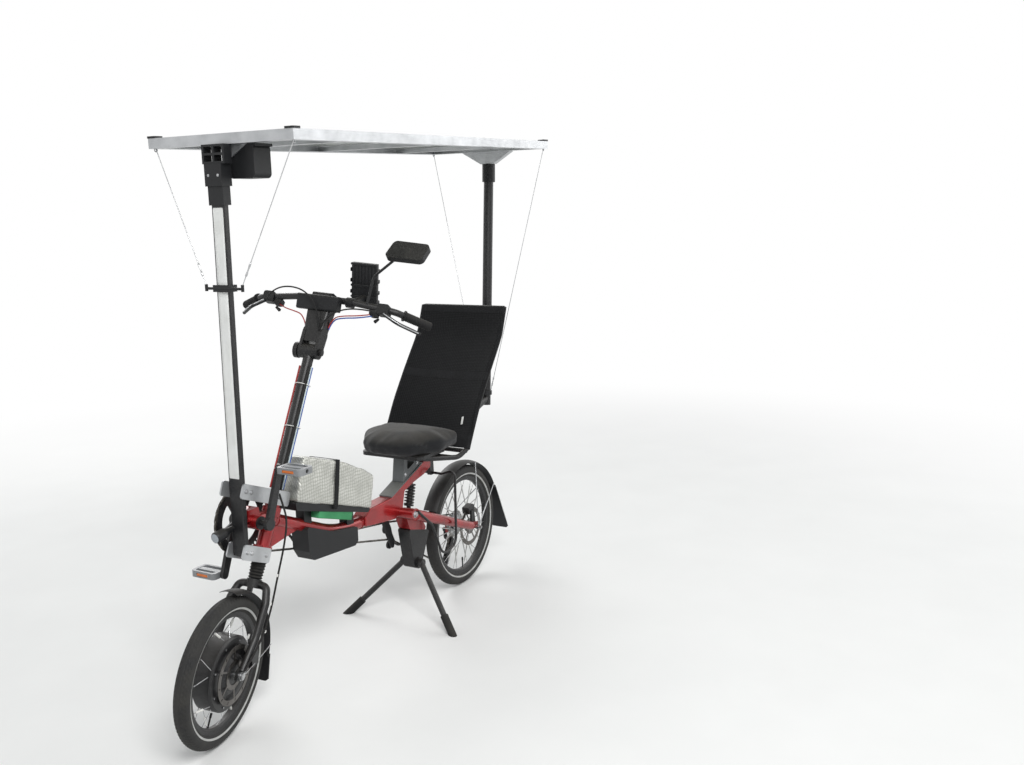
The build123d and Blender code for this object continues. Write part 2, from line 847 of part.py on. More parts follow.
# Rear wheel
rear_place = Pos(rear_hub.X, 0, rear_hub.Z)
nodes["rear_tyre"] = rear_place * tyre(rear_tyre_radius, rear_bead_radius)
nodes["rear_rim"] = rear_place * rim(rear_bead_radius)
rear_hub_shape = turned(
    [
        (6 + running_clearance, -66.5),
        (16, -66.5),
        (16, -26),
        (28, -24),
        (28, -20),
        (14, -14),
        (12, 20),
        (26, 30),
        (26, 34),
        (19, 38),
        (19, 50),
        (10, 56),
        (6 + running_clearance, 56),
    ]
)
rear_spokes = joined(spokes(30, 25, rear_bead_radius - rim_depth, 28, 50))
nodes["rear_spokes"] = rear_place * (rear_spokes - rear_hub_shape - rim(rear_bead_radius))
cassette = []
for number, teeth in enumerate(sprocket_teeth):
    y = chain_y + sprocket_gap * (number - working_sprocket)
    cassette.append(across(teeth * chain_pitch / (2 * math.pi) - 1, (0, 0), y - 1.1, y + 1.1))
cassette.append(rear_hub_shape)
hub_bore = across(6 + running_clearance, (0, 0), -80, 80)
nodes["rear_hub"] = rear_place * (joined(cassette) - hub_bore)
nodes["rear_disc"] = rear_place * brake_disc(rear_disc_radius, 27, 44)
rear_axle = across(6, (0, 0), -98, 98) + across(10, (0, 0), 74, 88) + across(10, (0, 0), -88, -74)

# Rear mudguard with flap and stays
fender_radius = rear_tyre_radius + 18
fender_end = 158
rear_guard = fender(fender_radius, 31, fender_end - 130, 130)
rear_guard += guard_flap(fender_radius, fender_end, 225, 31, 42)
nodes["rear_fender"] = rear_place * rear_guard
guard_stays = [rear_axle]
for side in (-1, 1):
    for angle in (fender_end - 5, fender_end - 50):
        reach = fender_radius - 4
        x = reach * math.cos(math.radians(angle))
        z = reach * math.sin(math.radians(angle))
        guard_stays.append(rod((0, side * 84, 0), (x, side * 29, z), 2.2))
nodes["rear_axle"] = rear_place * joined(guard_stays) - nodes["swingarm"] - nodes["rear_fender"]

caliper = Pos(12, 44, 76) * Rot(0, 10, 0) * fillet(Box(46, 34, 30).edges(), 4)
caliper += side_plate([(-6, 14), (24, 20), (24, 72), (2, 72)], 58, 66.7)
caliper -= across(rear_disc_radius + 4, (0, 0), 42, 46)
nodes["rear_caliper"] = rear_place * caliper


# Under-seat pannier hoops
def make_hoops():
    hoop_bar_z = 528
    hoops = []
    for side in (-1, 1):
        y = side * 108
        points = [
            (pivot_x - 12, side * 96, pivot_z + 8),
            (-262, y, 380),
            (-330, y, 236),
            (-430, y, 252),
            (-438, y, 548),
            (-432, side * 50, hoop_bar_z),
        ]
        hoops.append(bent(points, 5, [30, 50, 40, 22]))
    hoops.append(rod((-432, -52, hoop_bar_z), (-432, 52, hoop_bar_z), 5))
    hoops.append(rounded_plate([(-444, 520), (-420, 520), (-410, 596), (-440, 606)], 5, -8, 8))
    return joined(hoops) - nodes["frame"] - nodes["swingarm"] - nodes["rear_boom"]


nodes["pannier_hoops"] = make_hoops()


# Stand
def make_stand_bracket():
    x = stand_pivot_x
    z = stand_pivot_z
    bracket = rounded_plate(
        [(x + 54, z + 148), (x - 84, z + 107), (x - 24, z - 14), (x + 24, z - 14)], 7, -26, 26
    )
    bracket += across(22, (x, z), -30, 30)
    bracket -= across(10.05, (x, z), -60, 60)
    return bracket - nodes["swingarm"]


nodes["stand_bracket"] = make_stand_bracket()

leg_tops = []
for side in (-1, 1):
    leg_tops.append((Vector(stand_pivot_x, side * 40, stand_pivot_z), side))
legs = [across(10, (stand_pivot_x, stand_pivot_z), -44, 44)]
boots = []
for leg_top, side in leg_tops:
    foot = Vector(stand_foot_x, side * stand_foot_y, 0)
    along = (foot - leg_top).normalized()
    leg = rod(leg_top, foot - along * 12, leg_radius)
    legs.append(leg)
    legs.append(across(17, (stand_pivot_x, stand_pivot_z), side * 31, side * 48))
    boot = rod(foot - along * boot_length, foot + along * 30, boot_radius)
    boots.append(split(boot, bisect_by=Plane.XY, keep=Keep.TOP) - leg)
nodes["stand_legs"] = joined(legs)
nodes["stand_feet"] = joined(boots)


# Fork, column and front wheel, made straight in the steering frame
def steered(shape):
    return steering_place * shape


def make_column():
    column = Pos(0, 0, 262) * Cylinder(
        steerer_radius, head_high + 12 - 262, align=(Align.CENTER, Align.CENTER, Align.MIN)
    )
    column += Pos(0, 0, head_high + 0.5) * Cylinder(
        mast_radius, tilt_height - head_high, align=(Align.CENTER, Align.CENTER, Align.MIN)
    )
    column += Pos(0, 0, head_high + 0.5) * Cylinder(
        mast_radius + 3, 16, align=(Align.CENTER, Align.CENTER, Align.MIN)
    )
    return column


column = make_column()
joint = across(24, (0, tilt_height), -22.6, 22.6)
joint += across(6, (0, tilt_height), -40, 40)
joint += across(26, (0, tilt_height), -50, -36) + across(11, (0, tilt_height), 36, 44)
nodes["steering_column"] = steered(column + joint)


def make_fork():
    """A unicrown fork: both legs sweep out of one short crown and down past the wheel."""
    parts = [Pos(0, 0, 264) * Cylinder(23, 27)]
    for side in (-1, 1):
        leg_line = [
            (0, side * 14, 265),
            (2, side * 46, 259),
            (12, side * 60, 212),
            (26, side * 61, 110),
            (fork_offset - 8, side * 60, 12),
        ]
        parts.append(bent(leg_line, 12, [20, 60, 80]))
        dropout = Pos(fork_offset - 4, side * 56, 2) * Box(36, 8, 36)
        parts.append(fillet(dropout.edges().filter_by(Axis.Y), 9))
    parts.append(Pos(16, 0, 249) * Box(12, 14, 27))
    return joined(parts) - across(6, (fork_offset, 0), -90, 90) - column


fork = make_fork()
nodes["fork"] = steered(fork)

def make_bellows():
    """A ribbed rubber gaiter between the crown and the head tube, wider at the top."""
    folds = 6
    low = 278
    step = (head_low - 1 - low) / folds
    outline = [(steerer_radius + 0.3, low)]
    for number in range(folds):
        outline.append((18 + number * 0.6, low + number * step))
        outline.append((22.5 + number * 0.3, low + (number + 0.5) * step))
    outline.append((21.5, head_low - 1))
    outline.append((steerer_radius + 0.3, head_low - 1))
    profile = Plane.XZ * make_face(Polyline(*outline, close=True))
    return revolve(profile, axis=Axis.Z)


nodes["fork_bellows"] = steered(make_bellows() - fork)

wheel_place = Pos(fork_offset, 0, 0)
nodes["front_tyre"] = steered(wheel_place * tyre(front_tyre_radius, front_bead_radius))
nodes["front_rim"] = steered(wheel_place * rim(front_bead_radius))
motor = turned(
    [
        (6 + running_clearance, -42),
        (30, -42),
        (60, -34),
        (hub_motor_radius - 6, -31),
        (hub_motor_radius, -26),
        (hub_motor_radius, 26),
        (hub_motor_radius - 6, 31),
        (60, 34),
        (46, 41.4),
        (6 + running_clearance, 41.4),
    ]
)
nodes["hub_motor"] = steered(wheel_place * motor)
front_spokes = joined(spokes(hub_motor_radius - 1, 22, front_bead_radius - rim_depth, 24, 10))
nodes["front_spokes"] = steered(wheel_place * (front_spokes - motor - rim(front_bead_radius)))
nodes["front_disc"] = steered(wheel_place * (brake_disc(front_disc_radius, 37, 42.5)))
nodes["front_axle"] = steered(
    wheel_place * (across(6, (0, 0), -72, 72) + across(11, (0, 0), 60, 72) + across(11, (0, 0), -72, -60))
)

front_fender_radius = front_tyre_radius + 17
front_guard = fender(front_fender_radius, 30, 72, 96)
front_guard += guard_flap(front_fender_radius, 168, 78, 30, 37)
nodes["front_fender"] = steered(wheel_place * front_guard - fork)
front_caliper = Pos(-8, 48, 50) * Rot(0, 30, 0) * Box(36, 23, 50)
front_caliper += Pos(14, 56, 50) * Box(48, 7, 18)
front_caliper -= wheel_place * across(front_disc_radius + 4, (0, 0), 40.5, 44.5)
front_caliper -= wheel_place * across(hub_motor_radius + 4, (0, 0), -40, 36)
nodes["front_caliper"] = steered(front_caliper - fork)

# Upper stem, bars and what they carry, on the tilting head
def make_stem():
    """Two ears astride the knuckle, a body that widens upward, and the bar clamp."""
    ears = link_plate(
        [(0, tilt_height, 24, 1), (-6, tilt_height + 60, 26, 1)], -33, -23
    ) + link_plate([(0, tilt_height, 24, 1), (-6, tilt_height + 60, 26, 1)], 23, 33)
    low = Pos(-6, 0, tilt_height + 30) * RectangleRounded(48, 60, 8)
    high = Pos(-12, 0, stem_height) * RectangleRounded(54, 84, 12)
    body = loft([low, high])
    clamp = Pos(bar_points[2][0], 0, bar_height) * Box(42, 70, 36)
    clamp = fillet(clamp.edges().filter_by(Axis.Y), 9)
    clamp += Pos(-12, 0, stem_height + 10) * Box(40, 56, 22)
    return ears + body + clamp


bar_points = [
    (-126, -bar_half_width, bar_height - 18),
    (-46, -240, bar_height - 6),
    (-10, -90, bar_height),
    (-10, 90, bar_height),
    (-46, 240, bar_height - 6),
    (-126, bar_half_width, bar_height - 18),
]
bar = bent(bar_points, bar_radius, [70, 70, 70, 70])
stem = make_stem() - bar
stem -= across(6 + running_clearance, (0, tilt_height), -60, 60)
nodes["upper_stem"] = steered(stem)
nodes["handlebar"] = steered(bar)

grips = []
levers = []
for side in (-1, 1):
    inner = Vector(-46, side * 240, bar_height - 6)
    outer = Vector(-126, side * bar_half_width, bar_height - 18)
    along = (outer - inner).normalized()
    grips.append(rod(outer + along * 3, outer - along * grip_length, grip_radius))
    grips.append(rod(outer - along * grip_length, outer - along * (grip_length - 6), grip_radius + 3))
    mount = Pos(-36, side * 205, bar_height - 8) * Box(34, 40, 36)
    levers.append(fillet(mount.edges().filter_by(Axis.X), 8))
    blade = [
        (-20, side * 212, bar_height - 24),
        (-30, side * 262, bar_height - 48),
        (-96, side * 322, bar_height - 56),
    ]
    levers.append(bent(blade, 6, 40))
nodes["grips"] = steered(joined(grips) - bar)
nodes["brake_levers"] = steered(joined(levers) - bar - joined(grips))

display = Box(32, 144, 50)
display = Pos(14, -2, bar_height - 22) * Rot(0, 12, 0) * fillet(display.edges().filter_by(Axis.Y), 7)
nodes["display"] = steered(display - stem - bar)

holder = Box(20, 92, 146)
holder = Pos(-95, 92, bar_height + 92) * Rot(0, 30, 0) * fillet(holder.edges().filter_by(Axis.Z), 5)
holder += rod((-30, 92, bar_height + 2), (-112, 92, bar_height + 50), 12)
holder += across(17, (-16, bar_height - 1), 80, 104)
nodes["phone_holder"] = steered(holder - bar)

mirror_arm = bent(
    [(-16, 150, bar_height), (4, 160, bar_height + 90), (34, 235, bar_height + 150)], 4.5, 40
)
mirror_face = make_face(Polyline((-70, -34), (66, -42), (74, 30), (-58, 40), close=True))
mirror_shell = extrude(mirror_face, amount=20)
mirror_shell = fillet(mirror_shell.edges().filter_by(Axis.Z), 16)
mirror_place = Plane(origin=(28, 271, bar_height + 170), x_dir=(0.1, 1, 0), z_dir=(1, -0.1, 0.42))
mirror_head = mirror_place * mirror_shell
nodes["mirror"] = steered(mirror_head + mirror_arm - bar - stem)


# Crank set and pedals, turned to the stored angle
crank_turn = Pos(crank_x, 0, crank_z) * Rot(0, -crank_angle, 0)


def make_cranks():
    """Spindle, two tapered arms, the chainring's five limbs and the pedal axles."""
    parts = [across(8.5, (0, 0), -76, 76)]
    for side in (-1, 1):
        y_low = side * crank_arm_y - 6
        parts.append(across(19, (0, 0), y_low, y_low + 14))
        arm = [(0, 0, 14, 1), (0, side * crank_length, 12, 1)]
        parts.append(link_plate(arm, y_low, y_low + 12))
        y_end = side * 172
        parts.append(across(pedal_axle_radius, (0, side * crank_length), y_low, y_end))
    for number in range(5):
        limb = link_plate([(0, 0, 12, 1), (78, 0, 6, 1)], chain_y - 6.5, chain_y - 1.5)
        parts.append(Rot(0, 72 * number + 36, 0) * limb)
    parts.append(across(17, (0, 0), -76, -46))
    return joined(parts)


cranks = make_cranks()
nodes["crank_arms"] = crank_turn * cranks


def make_chainring():
    ring = toothed_disc(chainring_teeth, 2.6, 4.6, 2.2) - Cylinder(78, 10)
    for number in range(5):
        lug = Pos(78, 0, 0) * Cylinder(11, 2.2, align=(Align.CENTER, Align.CENTER, Align.MIN))
        ring += Rot(0, 0, 72 * number + 36) * lug
    return Pos(0, chain_y + 1.1, 0) * Rot(90, 0, 0) * ring


nodes["chainring"] = crank_turn * (make_chainring() - cranks)


def make_pedal(side):
    """A cage pedal on its own axle; side +1 is the left pedal."""
    inner = side * (crank_arm_y + 8 + pedal_gap)
    outer = inner + side * pedal_length
    y_middle = (inner + outer) / 2
    plan = RectangleRounded(pedal_width, pedal_length, 12)
    window = Pos(0, 0, 0) * RectangleRounded(pedal_width - 16, pedal_length - 22, 8)
    body = extrude(plan, amount=10, both=True) - extrude(window, amount=20, both=True)
    body += Box(18, pedal_length, 18)
    for end in (-1, 1):
        body += Pos(end * (pedal_width / 2 - 2), 0, 0) * Box(8, 56, 16)
        body -= Pos(end * (pedal_width / 2 + 2), 0, 0) * Box(4, 46, 10)
    body = Pos(0, y_middle, 0) * body
    return body - across(pedal_axle_radius + running_clearance, (0, 0), -300, 300)


for name, side in (("left_pedal", 1), ("right_pedal", -1)):
    x = crank_x - side * crank_length * math.sin(math.radians(crank_angle))
    z = crank_z + side * crank_length * math.cos(math.radians(crank_angle))
    nodes[name] = Pos(x, 0, z) * make_pedal(side)

lamp_outline = Polyline(
    (0, 0), (9, 0), (11, 12), (17, 30), (17.5, 62), (15, 66), (0, 66), close=True
)
lamp = revolve(Plane.XZ * make_face(lamp_outline), axis=Axis.Z)
headlamp = Pos(post_x + 16, -20, 619) * Rot(0, 97, 0) * lamp
headlamp += rod((post_x + 5, -20, 619), (post_x + 30, -20, 619), 9)
nodes["headlamp"] = headlamp - nodes["front_post"] - nodes["post_plates"]

os.makedirs("parts", exist_ok=True)
for name, shape in nodes.items():
    shape.label = name
    export_step(shape, f"parts/{name}.step")
print(len(nodes), "nodes written")
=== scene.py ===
import math

import bmesh
import bpy
import numpy as np
from mathutils import Matrix, Vector


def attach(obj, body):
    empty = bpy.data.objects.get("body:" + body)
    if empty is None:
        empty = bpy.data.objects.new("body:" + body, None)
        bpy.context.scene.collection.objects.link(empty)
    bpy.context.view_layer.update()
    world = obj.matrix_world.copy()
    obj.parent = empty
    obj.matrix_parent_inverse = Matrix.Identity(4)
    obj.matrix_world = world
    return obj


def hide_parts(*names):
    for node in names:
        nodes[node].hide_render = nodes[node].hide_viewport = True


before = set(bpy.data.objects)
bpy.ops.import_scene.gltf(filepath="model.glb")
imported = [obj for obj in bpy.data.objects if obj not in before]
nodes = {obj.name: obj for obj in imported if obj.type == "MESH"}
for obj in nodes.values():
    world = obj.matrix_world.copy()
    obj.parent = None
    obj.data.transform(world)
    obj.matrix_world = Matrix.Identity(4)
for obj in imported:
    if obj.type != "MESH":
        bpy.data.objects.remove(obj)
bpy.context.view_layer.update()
print("frame loaded:", len(nodes), "nodes")

# Camera: place and angles that give the photograph's view of the bicycle, front left and above bar height
camera = {
    "place": (2.7255, 2.067, 1.5474),
    "yaw": 208.22,
    "pitch": -10.08,
    "roll": -1.36,
    "focalPixels": 986.03,
    "imageWidth": 1024,
    "sensor": 36.0,
    "reach": 60.0,
}


def newObject(name, data):
    made = bpy.data.objects.new(name, data)
    bpy.context.collection.objects.link(made)
    return made


# Yaw turns the view about Z, pitch lifts it and roll turns it about the line of sight.
def placeCamera(settings):
    yaw, pitch, roll = (math.radians(settings[key]) for key in ("yaw", "pitch", "roll"))
    forward = Vector((math.cos(pitch) * math.cos(yaw), math.cos(pitch) * math.sin(yaw), math.sin(pitch)))
    level = forward.cross(Vector((0, 0, 1))).normalized()
    upright = level.cross(forward)
    right = level * math.cos(roll) + upright * math.sin(roll)
    up = upright * math.cos(roll) - level * math.sin(roll)
    lens = bpy.data.cameras.new("photoCamera")
    lens.sensor_width = settings["sensor"]
    lens.lens = settings["focalPixels"] / settings["imageWidth"] * settings["sensor"]
    lens.clip_end = settings["reach"]
    holder = newObject("photoCamera", lens)
    holder.matrix_world = Matrix.Translation(settings["place"]) @ Matrix((right, up, -forward)).transposed().to_4x4()
    bpy.context.scene.camera = holder


placeCamera(camera)
bpy.context.scene.view_settings.view_transform = "Standard"
print("camera placed")


# Colours and material nodes
# One sRGB hex code as linear red, green, blue and alpha.
def colour(code):
    parts = [int(code[i:i + 2], 16) / 255 for i in (0, 2, 4)]
    return tuple(p / 12.92 if p <= 0.04045 else ((p + 0.055) / 1.055) ** 2.4 for p in parts) + (1.0,)


# Each input is a plain value, a socket to link from, or a node, whose first output is then linked.
def addNode(tree, kind, inputs=None, **settings):
    made = tree.nodes.new("ShaderNode" + kind)
    for name, value in settings.items():
        if hasattr(made, name):
            setattr(made, name, value)
        else:
            made.inputs[name.replace("_", " ")].default_value = value
    for name, source in (inputs or {}).items():
        if isinstance(source, bpy.types.Node):
            source = source.outputs[0]
        if isinstance(source, bpy.types.NodeSocket):
            tree.links.new(source, made.inputs[name])
        else:
            made.inputs[name].default_value = source
    return made


def newMaterial(name):
    made = bpy.data.materials.new(name)
    made.use_nodes = True
    made.node_tree.nodes.clear()
    return made, made.node_tree


# Wear that finishes share: bare metal in thin lines, and dust on what faces upward
wear = {"lineScale": 900.0, "lineFrom": 0.68, "lineTo": 0.74, "bare": "9b9a98", "dust": "a79f90", "dustFrom": 0.2}


# A finish whose colour drifts in soft patches, with a fine grain in its bump and its gloss.
def finish(name, base, dark=None, patchSize=0.06, rough=0.5, roughSpread=0.08, metallic=0.0, grain=0.0004,
           depth=0.15, coat=0.0, stretch=(1, 1, 1), sheen=0.0, dust=0.0, bumpDistance=0.0004, scratches=0.0,
           specular=0.5, pattern=None):
    made, tree = newMaterial(name)
    place = addNode(tree, "TexCoord").outputs["Object"]
    stretched = addNode(tree, "Mapping", {"Vector": place}, Scale=stretch)
    patches = addNode(tree, "TexNoise", {"Vector": place}, Scale=1 / patchSize, Detail=5.0)
    fine = addNode(tree, "TexNoise", {"Vector": stretched}, Scale=1 / grain, Detail=2.0)
    spread = addNode(tree, "MapRange", {"Value": patches}, From_Min=0.3, From_Max=0.7)
    mixed = addNode(tree, "Mix", {"Factor": spread, 6: colour(base), 7: colour(dark or base)}, data_type="RGBA")
    tone, height = mixed.outputs[2], fine.outputs[0]
    if pattern:
        tone, height = pattern(tree, place, tone, height)
    if scratches > 0:
        lines = addNode(tree, "TexNoise", {"Vector": place}, Scale=wear["lineScale"], Detail=0.0, Distortion=3.0)
        thin = addNode(tree, "MapRange", {"Value": lines}, From_Min=wear["lineFrom"],
                       From_Max=wear["lineTo"], To_Max=scratches)
        tone = addNode(tree, "Mix", {"Factor": thin, 6: tone, 7: colour(wear["bare"])}, data_type="RGBA").outputs[2]
    if dust > 0:
        upward = addNode(tree, "SeparateXYZ", {0: addNode(tree, "NewGeometry").outputs["Normal"]})
        share = addNode(tree, "MapRange", {"Value": upward.outputs["Z"]}, From_Min=wear["dustFrom"], To_Max=dust)
        broken = addNode(tree, "Math", {0: share, 1: patches}, operation="MULTIPLY")
        tone = addNode(tree, "Mix", {"Factor": broken, 6: tone, 7: colour(wear["dust"])}, data_type="RGBA").outputs[2]
    gloss = addNode(tree, "MapRange", {"Value": fine}, From_Min=0.3, From_Max=0.7,
                    To_Min=max(0.02, rough - roughSpread), To_Max=rough + roughSpread)
    bump = addNode(tree, "Bump", {"Height": height}, Strength=depth, Distance=bumpDistance)
    shader = addNode(tree, "BsdfPrincipled", {"Base Color": tone, "Roughness": gloss, "Normal": bump},
                     Metallic=metallic, Coat_Weight=coat, Coat_Roughness=0.08, Sheen_Weight=sheen,
                     Specular_IOR_Level=specular)
    addNode(tree, "OutputMaterial", {"Surface": shader})
    return made


# Two directions of the object become the pattern's own X and Y, so that it lies flat on every face.
def flattened(tree, place, first, second):
    x, y = (addNode(tree, "VectorMath", {0: place, 1: direction}, operation="DOT_PRODUCT").outputs["Value"]
            for direction in (first, second))
    return addNode(tree, "CombineXYZ", {"X": x, "Y": y})


# A weave: pale thread crossings in nearly even rows, with the base tone in the gaps between them.
def weavePattern(spacing, light):
    def build(tree, place, tone, height):
        flat = flattened(tree, place, (-0.5, 0, 1), (0.4, 1, 0.3))
        spots = addNode(tree, "TexVoronoi", {"Vector": flat}, voronoi_dimensions="2D", Scale=1 / spacing,
                        Randomness=0.1)
        gap = addNode(tree, "MapRange", {"Value": spots}, From_Min=0.16, From_Max=0.42)
        lit = addNode(tree, "Mix", {"Factor": gap, 6: colour(light), 7: tone}, data_type="RGBA")
        return lit.outputs[2], gap.outputs[0]
    return build


# Square cells with pale gaps and fainter thin conductors on top; the white back sheet shows from below.
def cellPattern(tree, place, tone, height):
    axes = addNode(tree, "SeparateXYZ", {0: place})
    parts = []
    # axis, spacing in metres, how many spacings to move by, the gap's share of the spacing
    for axis, size, moves, gap in (("X", 0.1281, 5, 0.016), ("Y", 0.1308, 4, 0.016), ("Y", 0.0436, 4, 0.02)):
        moved = addNode(tree, "Math", {0: axes.outputs[axis], 1: moves * size}, operation="ADD")
        scaled = addNode(tree, "Math", {0: moved, 1: size}, operation="DIVIDE")
        share = addNode(tree, "Math", {0: scaled}, operation="FRACT")
        parts.append(addNode(tree, "Math", {0: share, 1: gap}, operation="LESS_THAN"))
    gaps = addNode(tree, "Math", {0: parts[0], 1: parts[1]}, operation="MAXIMUM")
    faint = addNode(tree, "Math", {0: parts[2], 1: 0.45}, operation="MULTIPLY")
    lines = addNode(tree, "Math", {0: gaps, 1: faint}, operation="MAXIMUM")
    cells = addNode(tree, "Mix", {"Factor": lines, 6: tone, 7: colour("b7bcc0")}, data_type="RGBA")
    facing = addNode(tree, "SeparateXYZ", {0: addNode(tree, "NewGeometry").outputs["Normal"]})
    under = addNode(tree, "Math", {0: facing.outputs["Z"], 1: -0.3}, operation="LESS_THAN")
    both = addNode(tree, "Mix", {"Factor": under, 6: cells.outputs[2], 7: colour("c3c9c2")}, data_type="RGBA")
    return both.outputs[2], height


# Round air bubbles under the foil, about 11 mm apart, with painted shade: a darker grey in the valleys between them.
def bubblePattern(tree, place, tone, height):
    flat = flattened(tree, place, (1, 0, 0), (0, 1, 1))
    spots = addNode(tree, "TexVoronoi", {"Vector": flat}, voronoi_dimensions="2D", Scale=90.0, Randomness=0.08)
    dome = addNode(tree, "MapRange", {"Value": spots}, From_Min=0.2, From_Max=0.6, To_Min=1.0, To_Max=0.0)
    # painted shade: the valleys between the bubbles take a darker grey than the foil's own tone
    lit = addNode(tree, "Mix", {"Factor": dome, 6: colour("a9aaa2"), 7: tone}, data_type="RGBA")
    return lit.outputs[2], dome.outputs[0]


finishes = {
    # Metallic red lacquer on steel tube, sprayed: deep red under a thin clear gloss
    "redLacquer": finish("redLacquerSprayed", "a01016", "7e070c", rough=0.26, roughSpread=0.06, metallic=0.4,
                         coat=0.45, grain=0.0006, depth=0.03, dust=0.1, scratches=0.2),
    # Black powder coat: satin with a faint orange peel
    "blackCoat": finish("blackPowderCoat", "0d0d0f", "151517", rough=0.38, grain=0.0012, depth=0.08,
                        dust=0.08, scratches=0.3, specular=0.4),
    # Rolled and zinc-plated steel, bright but a little dull
    "brightSteel": finish("zincPlatedSteel", "b9babb", "8d8e90", rough=0.3, roughSpread=0.12, metallic=1.0,
                          grain=0.0008, depth=0.05),
    # Chain steel, oiled: dark in patches where the oil holds dirt
    "chainSteel": finish("oiledChainSteel", "8f8c86", "4d4945", rough=0.36, roughSpread=0.12, metallic=1.0,
                         grain=0.0008, depth=0.08, patchSize=0.02),
    # Stainless spokes and guy lines, drawn: bright thin lines
    "drawnSteel": finish("drawnStainlessSteel", "c9cacb", "a7a8aa", rough=0.25, metallic=1.0, grain=0.0006,
                         depth=0.03),
    # Anodised aluminium, extruded: pale grey, satin, faint lines along it
    "anodised": finish("anodisedAluminium", "c2c4c6", "aaacae", rough=0.42, roughSpread=0.1, metallic=0.85,
                       grain=0.0009, stretch=(0.05, 1, 1), depth=0.04, scratches=0.2),
    # Brake disc steel, ground and browned by heat
    "discSteel": finish("groundDiscSteel", "6f6c69", "55524f", rough=0.34, roughSpread=0.12, metallic=1.0,
                        grain=0.0007, depth=0.06),
    # Moulded ABS, fine spark-eroded grain: dull black with soft lights
    "blackPlastic": finish("mouldedBlackAbs", "101113", "18191b", rough=0.48, grain=0.0005, depth=0.12, dust=0.1,
                           specular=0.35),
    # Dark grey strip on the seat rail, lightly rubbed
    "railGrey": finish("rubbedGreyStrip", "4b4f50", "5a5e5e", rough=0.5, roughSpread=0.12, grain=0.0012, depth=0.12,
                       dust=0.3, scratches=0.5),
    # Moulded rubber: dull black that takes no sharp light
    "blackRubber": finish("mouldedRubber", "111112", "1a1a1a", rough=0.7, grain=0.0008, depth=0.15, dust=0.1,
                          specular=0.3),
    # Vulcanised tyre compound: dull, with road dust in patches
    "tyreRubber": finish("tyreRubber", "19191a", "2b2a27", rough=0.78, grain=0.0009, depth=0.2, patchSize=0.05),
    # Pale reflecting band moulded into the tyre wall
    "reflectBand": finish("reflectiveBand", "b9bab8", "9b9b97", rough=0.42, roughSpread=0.1, grain=0.0006, depth=0.08,
                          patchSize=0.03),
    # Woven polyester net: grey crossings round dark gaps, drawn at three times the real mesh to show
    "seatNet": finish("wovenPolyesterNet", "060607", "0b0b0c", rough=0.85, roughSpread=0.05, grain=0.0011,
                      depth=0.6, sheen=0.1, specular=0.2, pattern=weavePattern(0.0075, "1d1e20"),
                      bumpDistance=0.0006),
    # Woven cover cloth of the cushion: close weave, drawn coarser than it is to show
    "seatCloth": finish("wovenCoverCloth", "17181a", "101112", rough=0.85, roughSpread=0.05, grain=0.0011,
                        depth=0.3, sheen=0.15, specular=0.25, pattern=weavePattern(0.0024, "232427"), dust=0.15),
    # Laminated solar glass: dark blue cells under a smooth gloss
    "solarGlass": finish("solarLaminate", "131722", "0f131c", rough=0.16, roughSpread=0.05, coat=0.6, depth=0.02,
                         pattern=cellPattern),
    # Reflective tape, rolled: plain white
    "whiteStrip": finish("whiteReflectiveTape", "e4e5e3", "d5d6d3", rough=0.35, depth=0.05),
    # Aluminised bubble wrap: bright, creased, with round bubbles
    "foil": finish("foilBubbleWrap", "d3d3cd", "b4b4ae", rough=0.36, roughSpread=0.1, metallic=0.55, grain=0.004,
                   depth=0.5, bumpDistance=0.0016, pattern=bubblePattern),
    # Closed-cell foam, cut: dull green
    "greenFoam": finish("closedCellFoam", "3f8f5e", "2f7a4d", rough=0.8, roughSpread=0.06, grain=0.0015, depth=0.5),
    # Woven webbing: black with a close weave, drawn coarser than it is to show
    "strapWeb": finish("wovenWebbing", "0d0d0e", "151517", rough=0.8, roughSpread=0.06, depth=0.6, specular=0.25,
                       pattern=weavePattern(0.0024, "1c1d1f")),
    # Moulded pedal resin: grey, scuffed
    "pedalPlastic": finish("pedalResin", "8f9193", "77797b", rough=0.4, roughSpread=0.1, depth=0.08, scratches=0.4),
    # Moulded reflector prisms: amber, rippled, glossy
    "amberLens": finish("amberReflector", "d9700f", "b95a0a", rough=0.2, roughSpread=0.05, coat=0.5, grain=0.002,
                        depth=0.5, bumpDistance=0.0006),
    # Moulded clear lens over a mirror: pale and rippled
    "clearLens": finish("clearLens", "a9afb5", "8d9399", rough=0.12, roughSpread=0.04, coat=0.9, metallic=0.3,
                        grain=0.003, depth=0.4, bumpDistance=0.0006),
    # Moulded nylon ties: white
    "whiteTie": finish("whiteNylonTie", "e2e2de", "cfcfca", rough=0.5, depth=0.1),
    # Silvered mirror glass and the display's dark glass: both smooth
    "mirrorGlass": finish("silveredGlass", "c8ccd0", "bcc0c4", rough=0.05, roughSpread=0.02, metallic=1.0, depth=0.0),
    "screenGlass": finish("displayGlass", "0c0e12", "10131a", rough=0.1, roughSpread=0.04, coat=0.8, depth=0.0),
}

# Extruded cable jackets: satin, in plain colours
for tint, base, dark in (("red", "a8231d", "8e1a16"), ("blue", "2350a8", "1b3f8a"), ("pale", "c9d6d8", "aebcc0")):
    finishes[tint + "Cable"] = finish(tint + "CableJacket", base, dark, rough=0.42, depth=0.1)

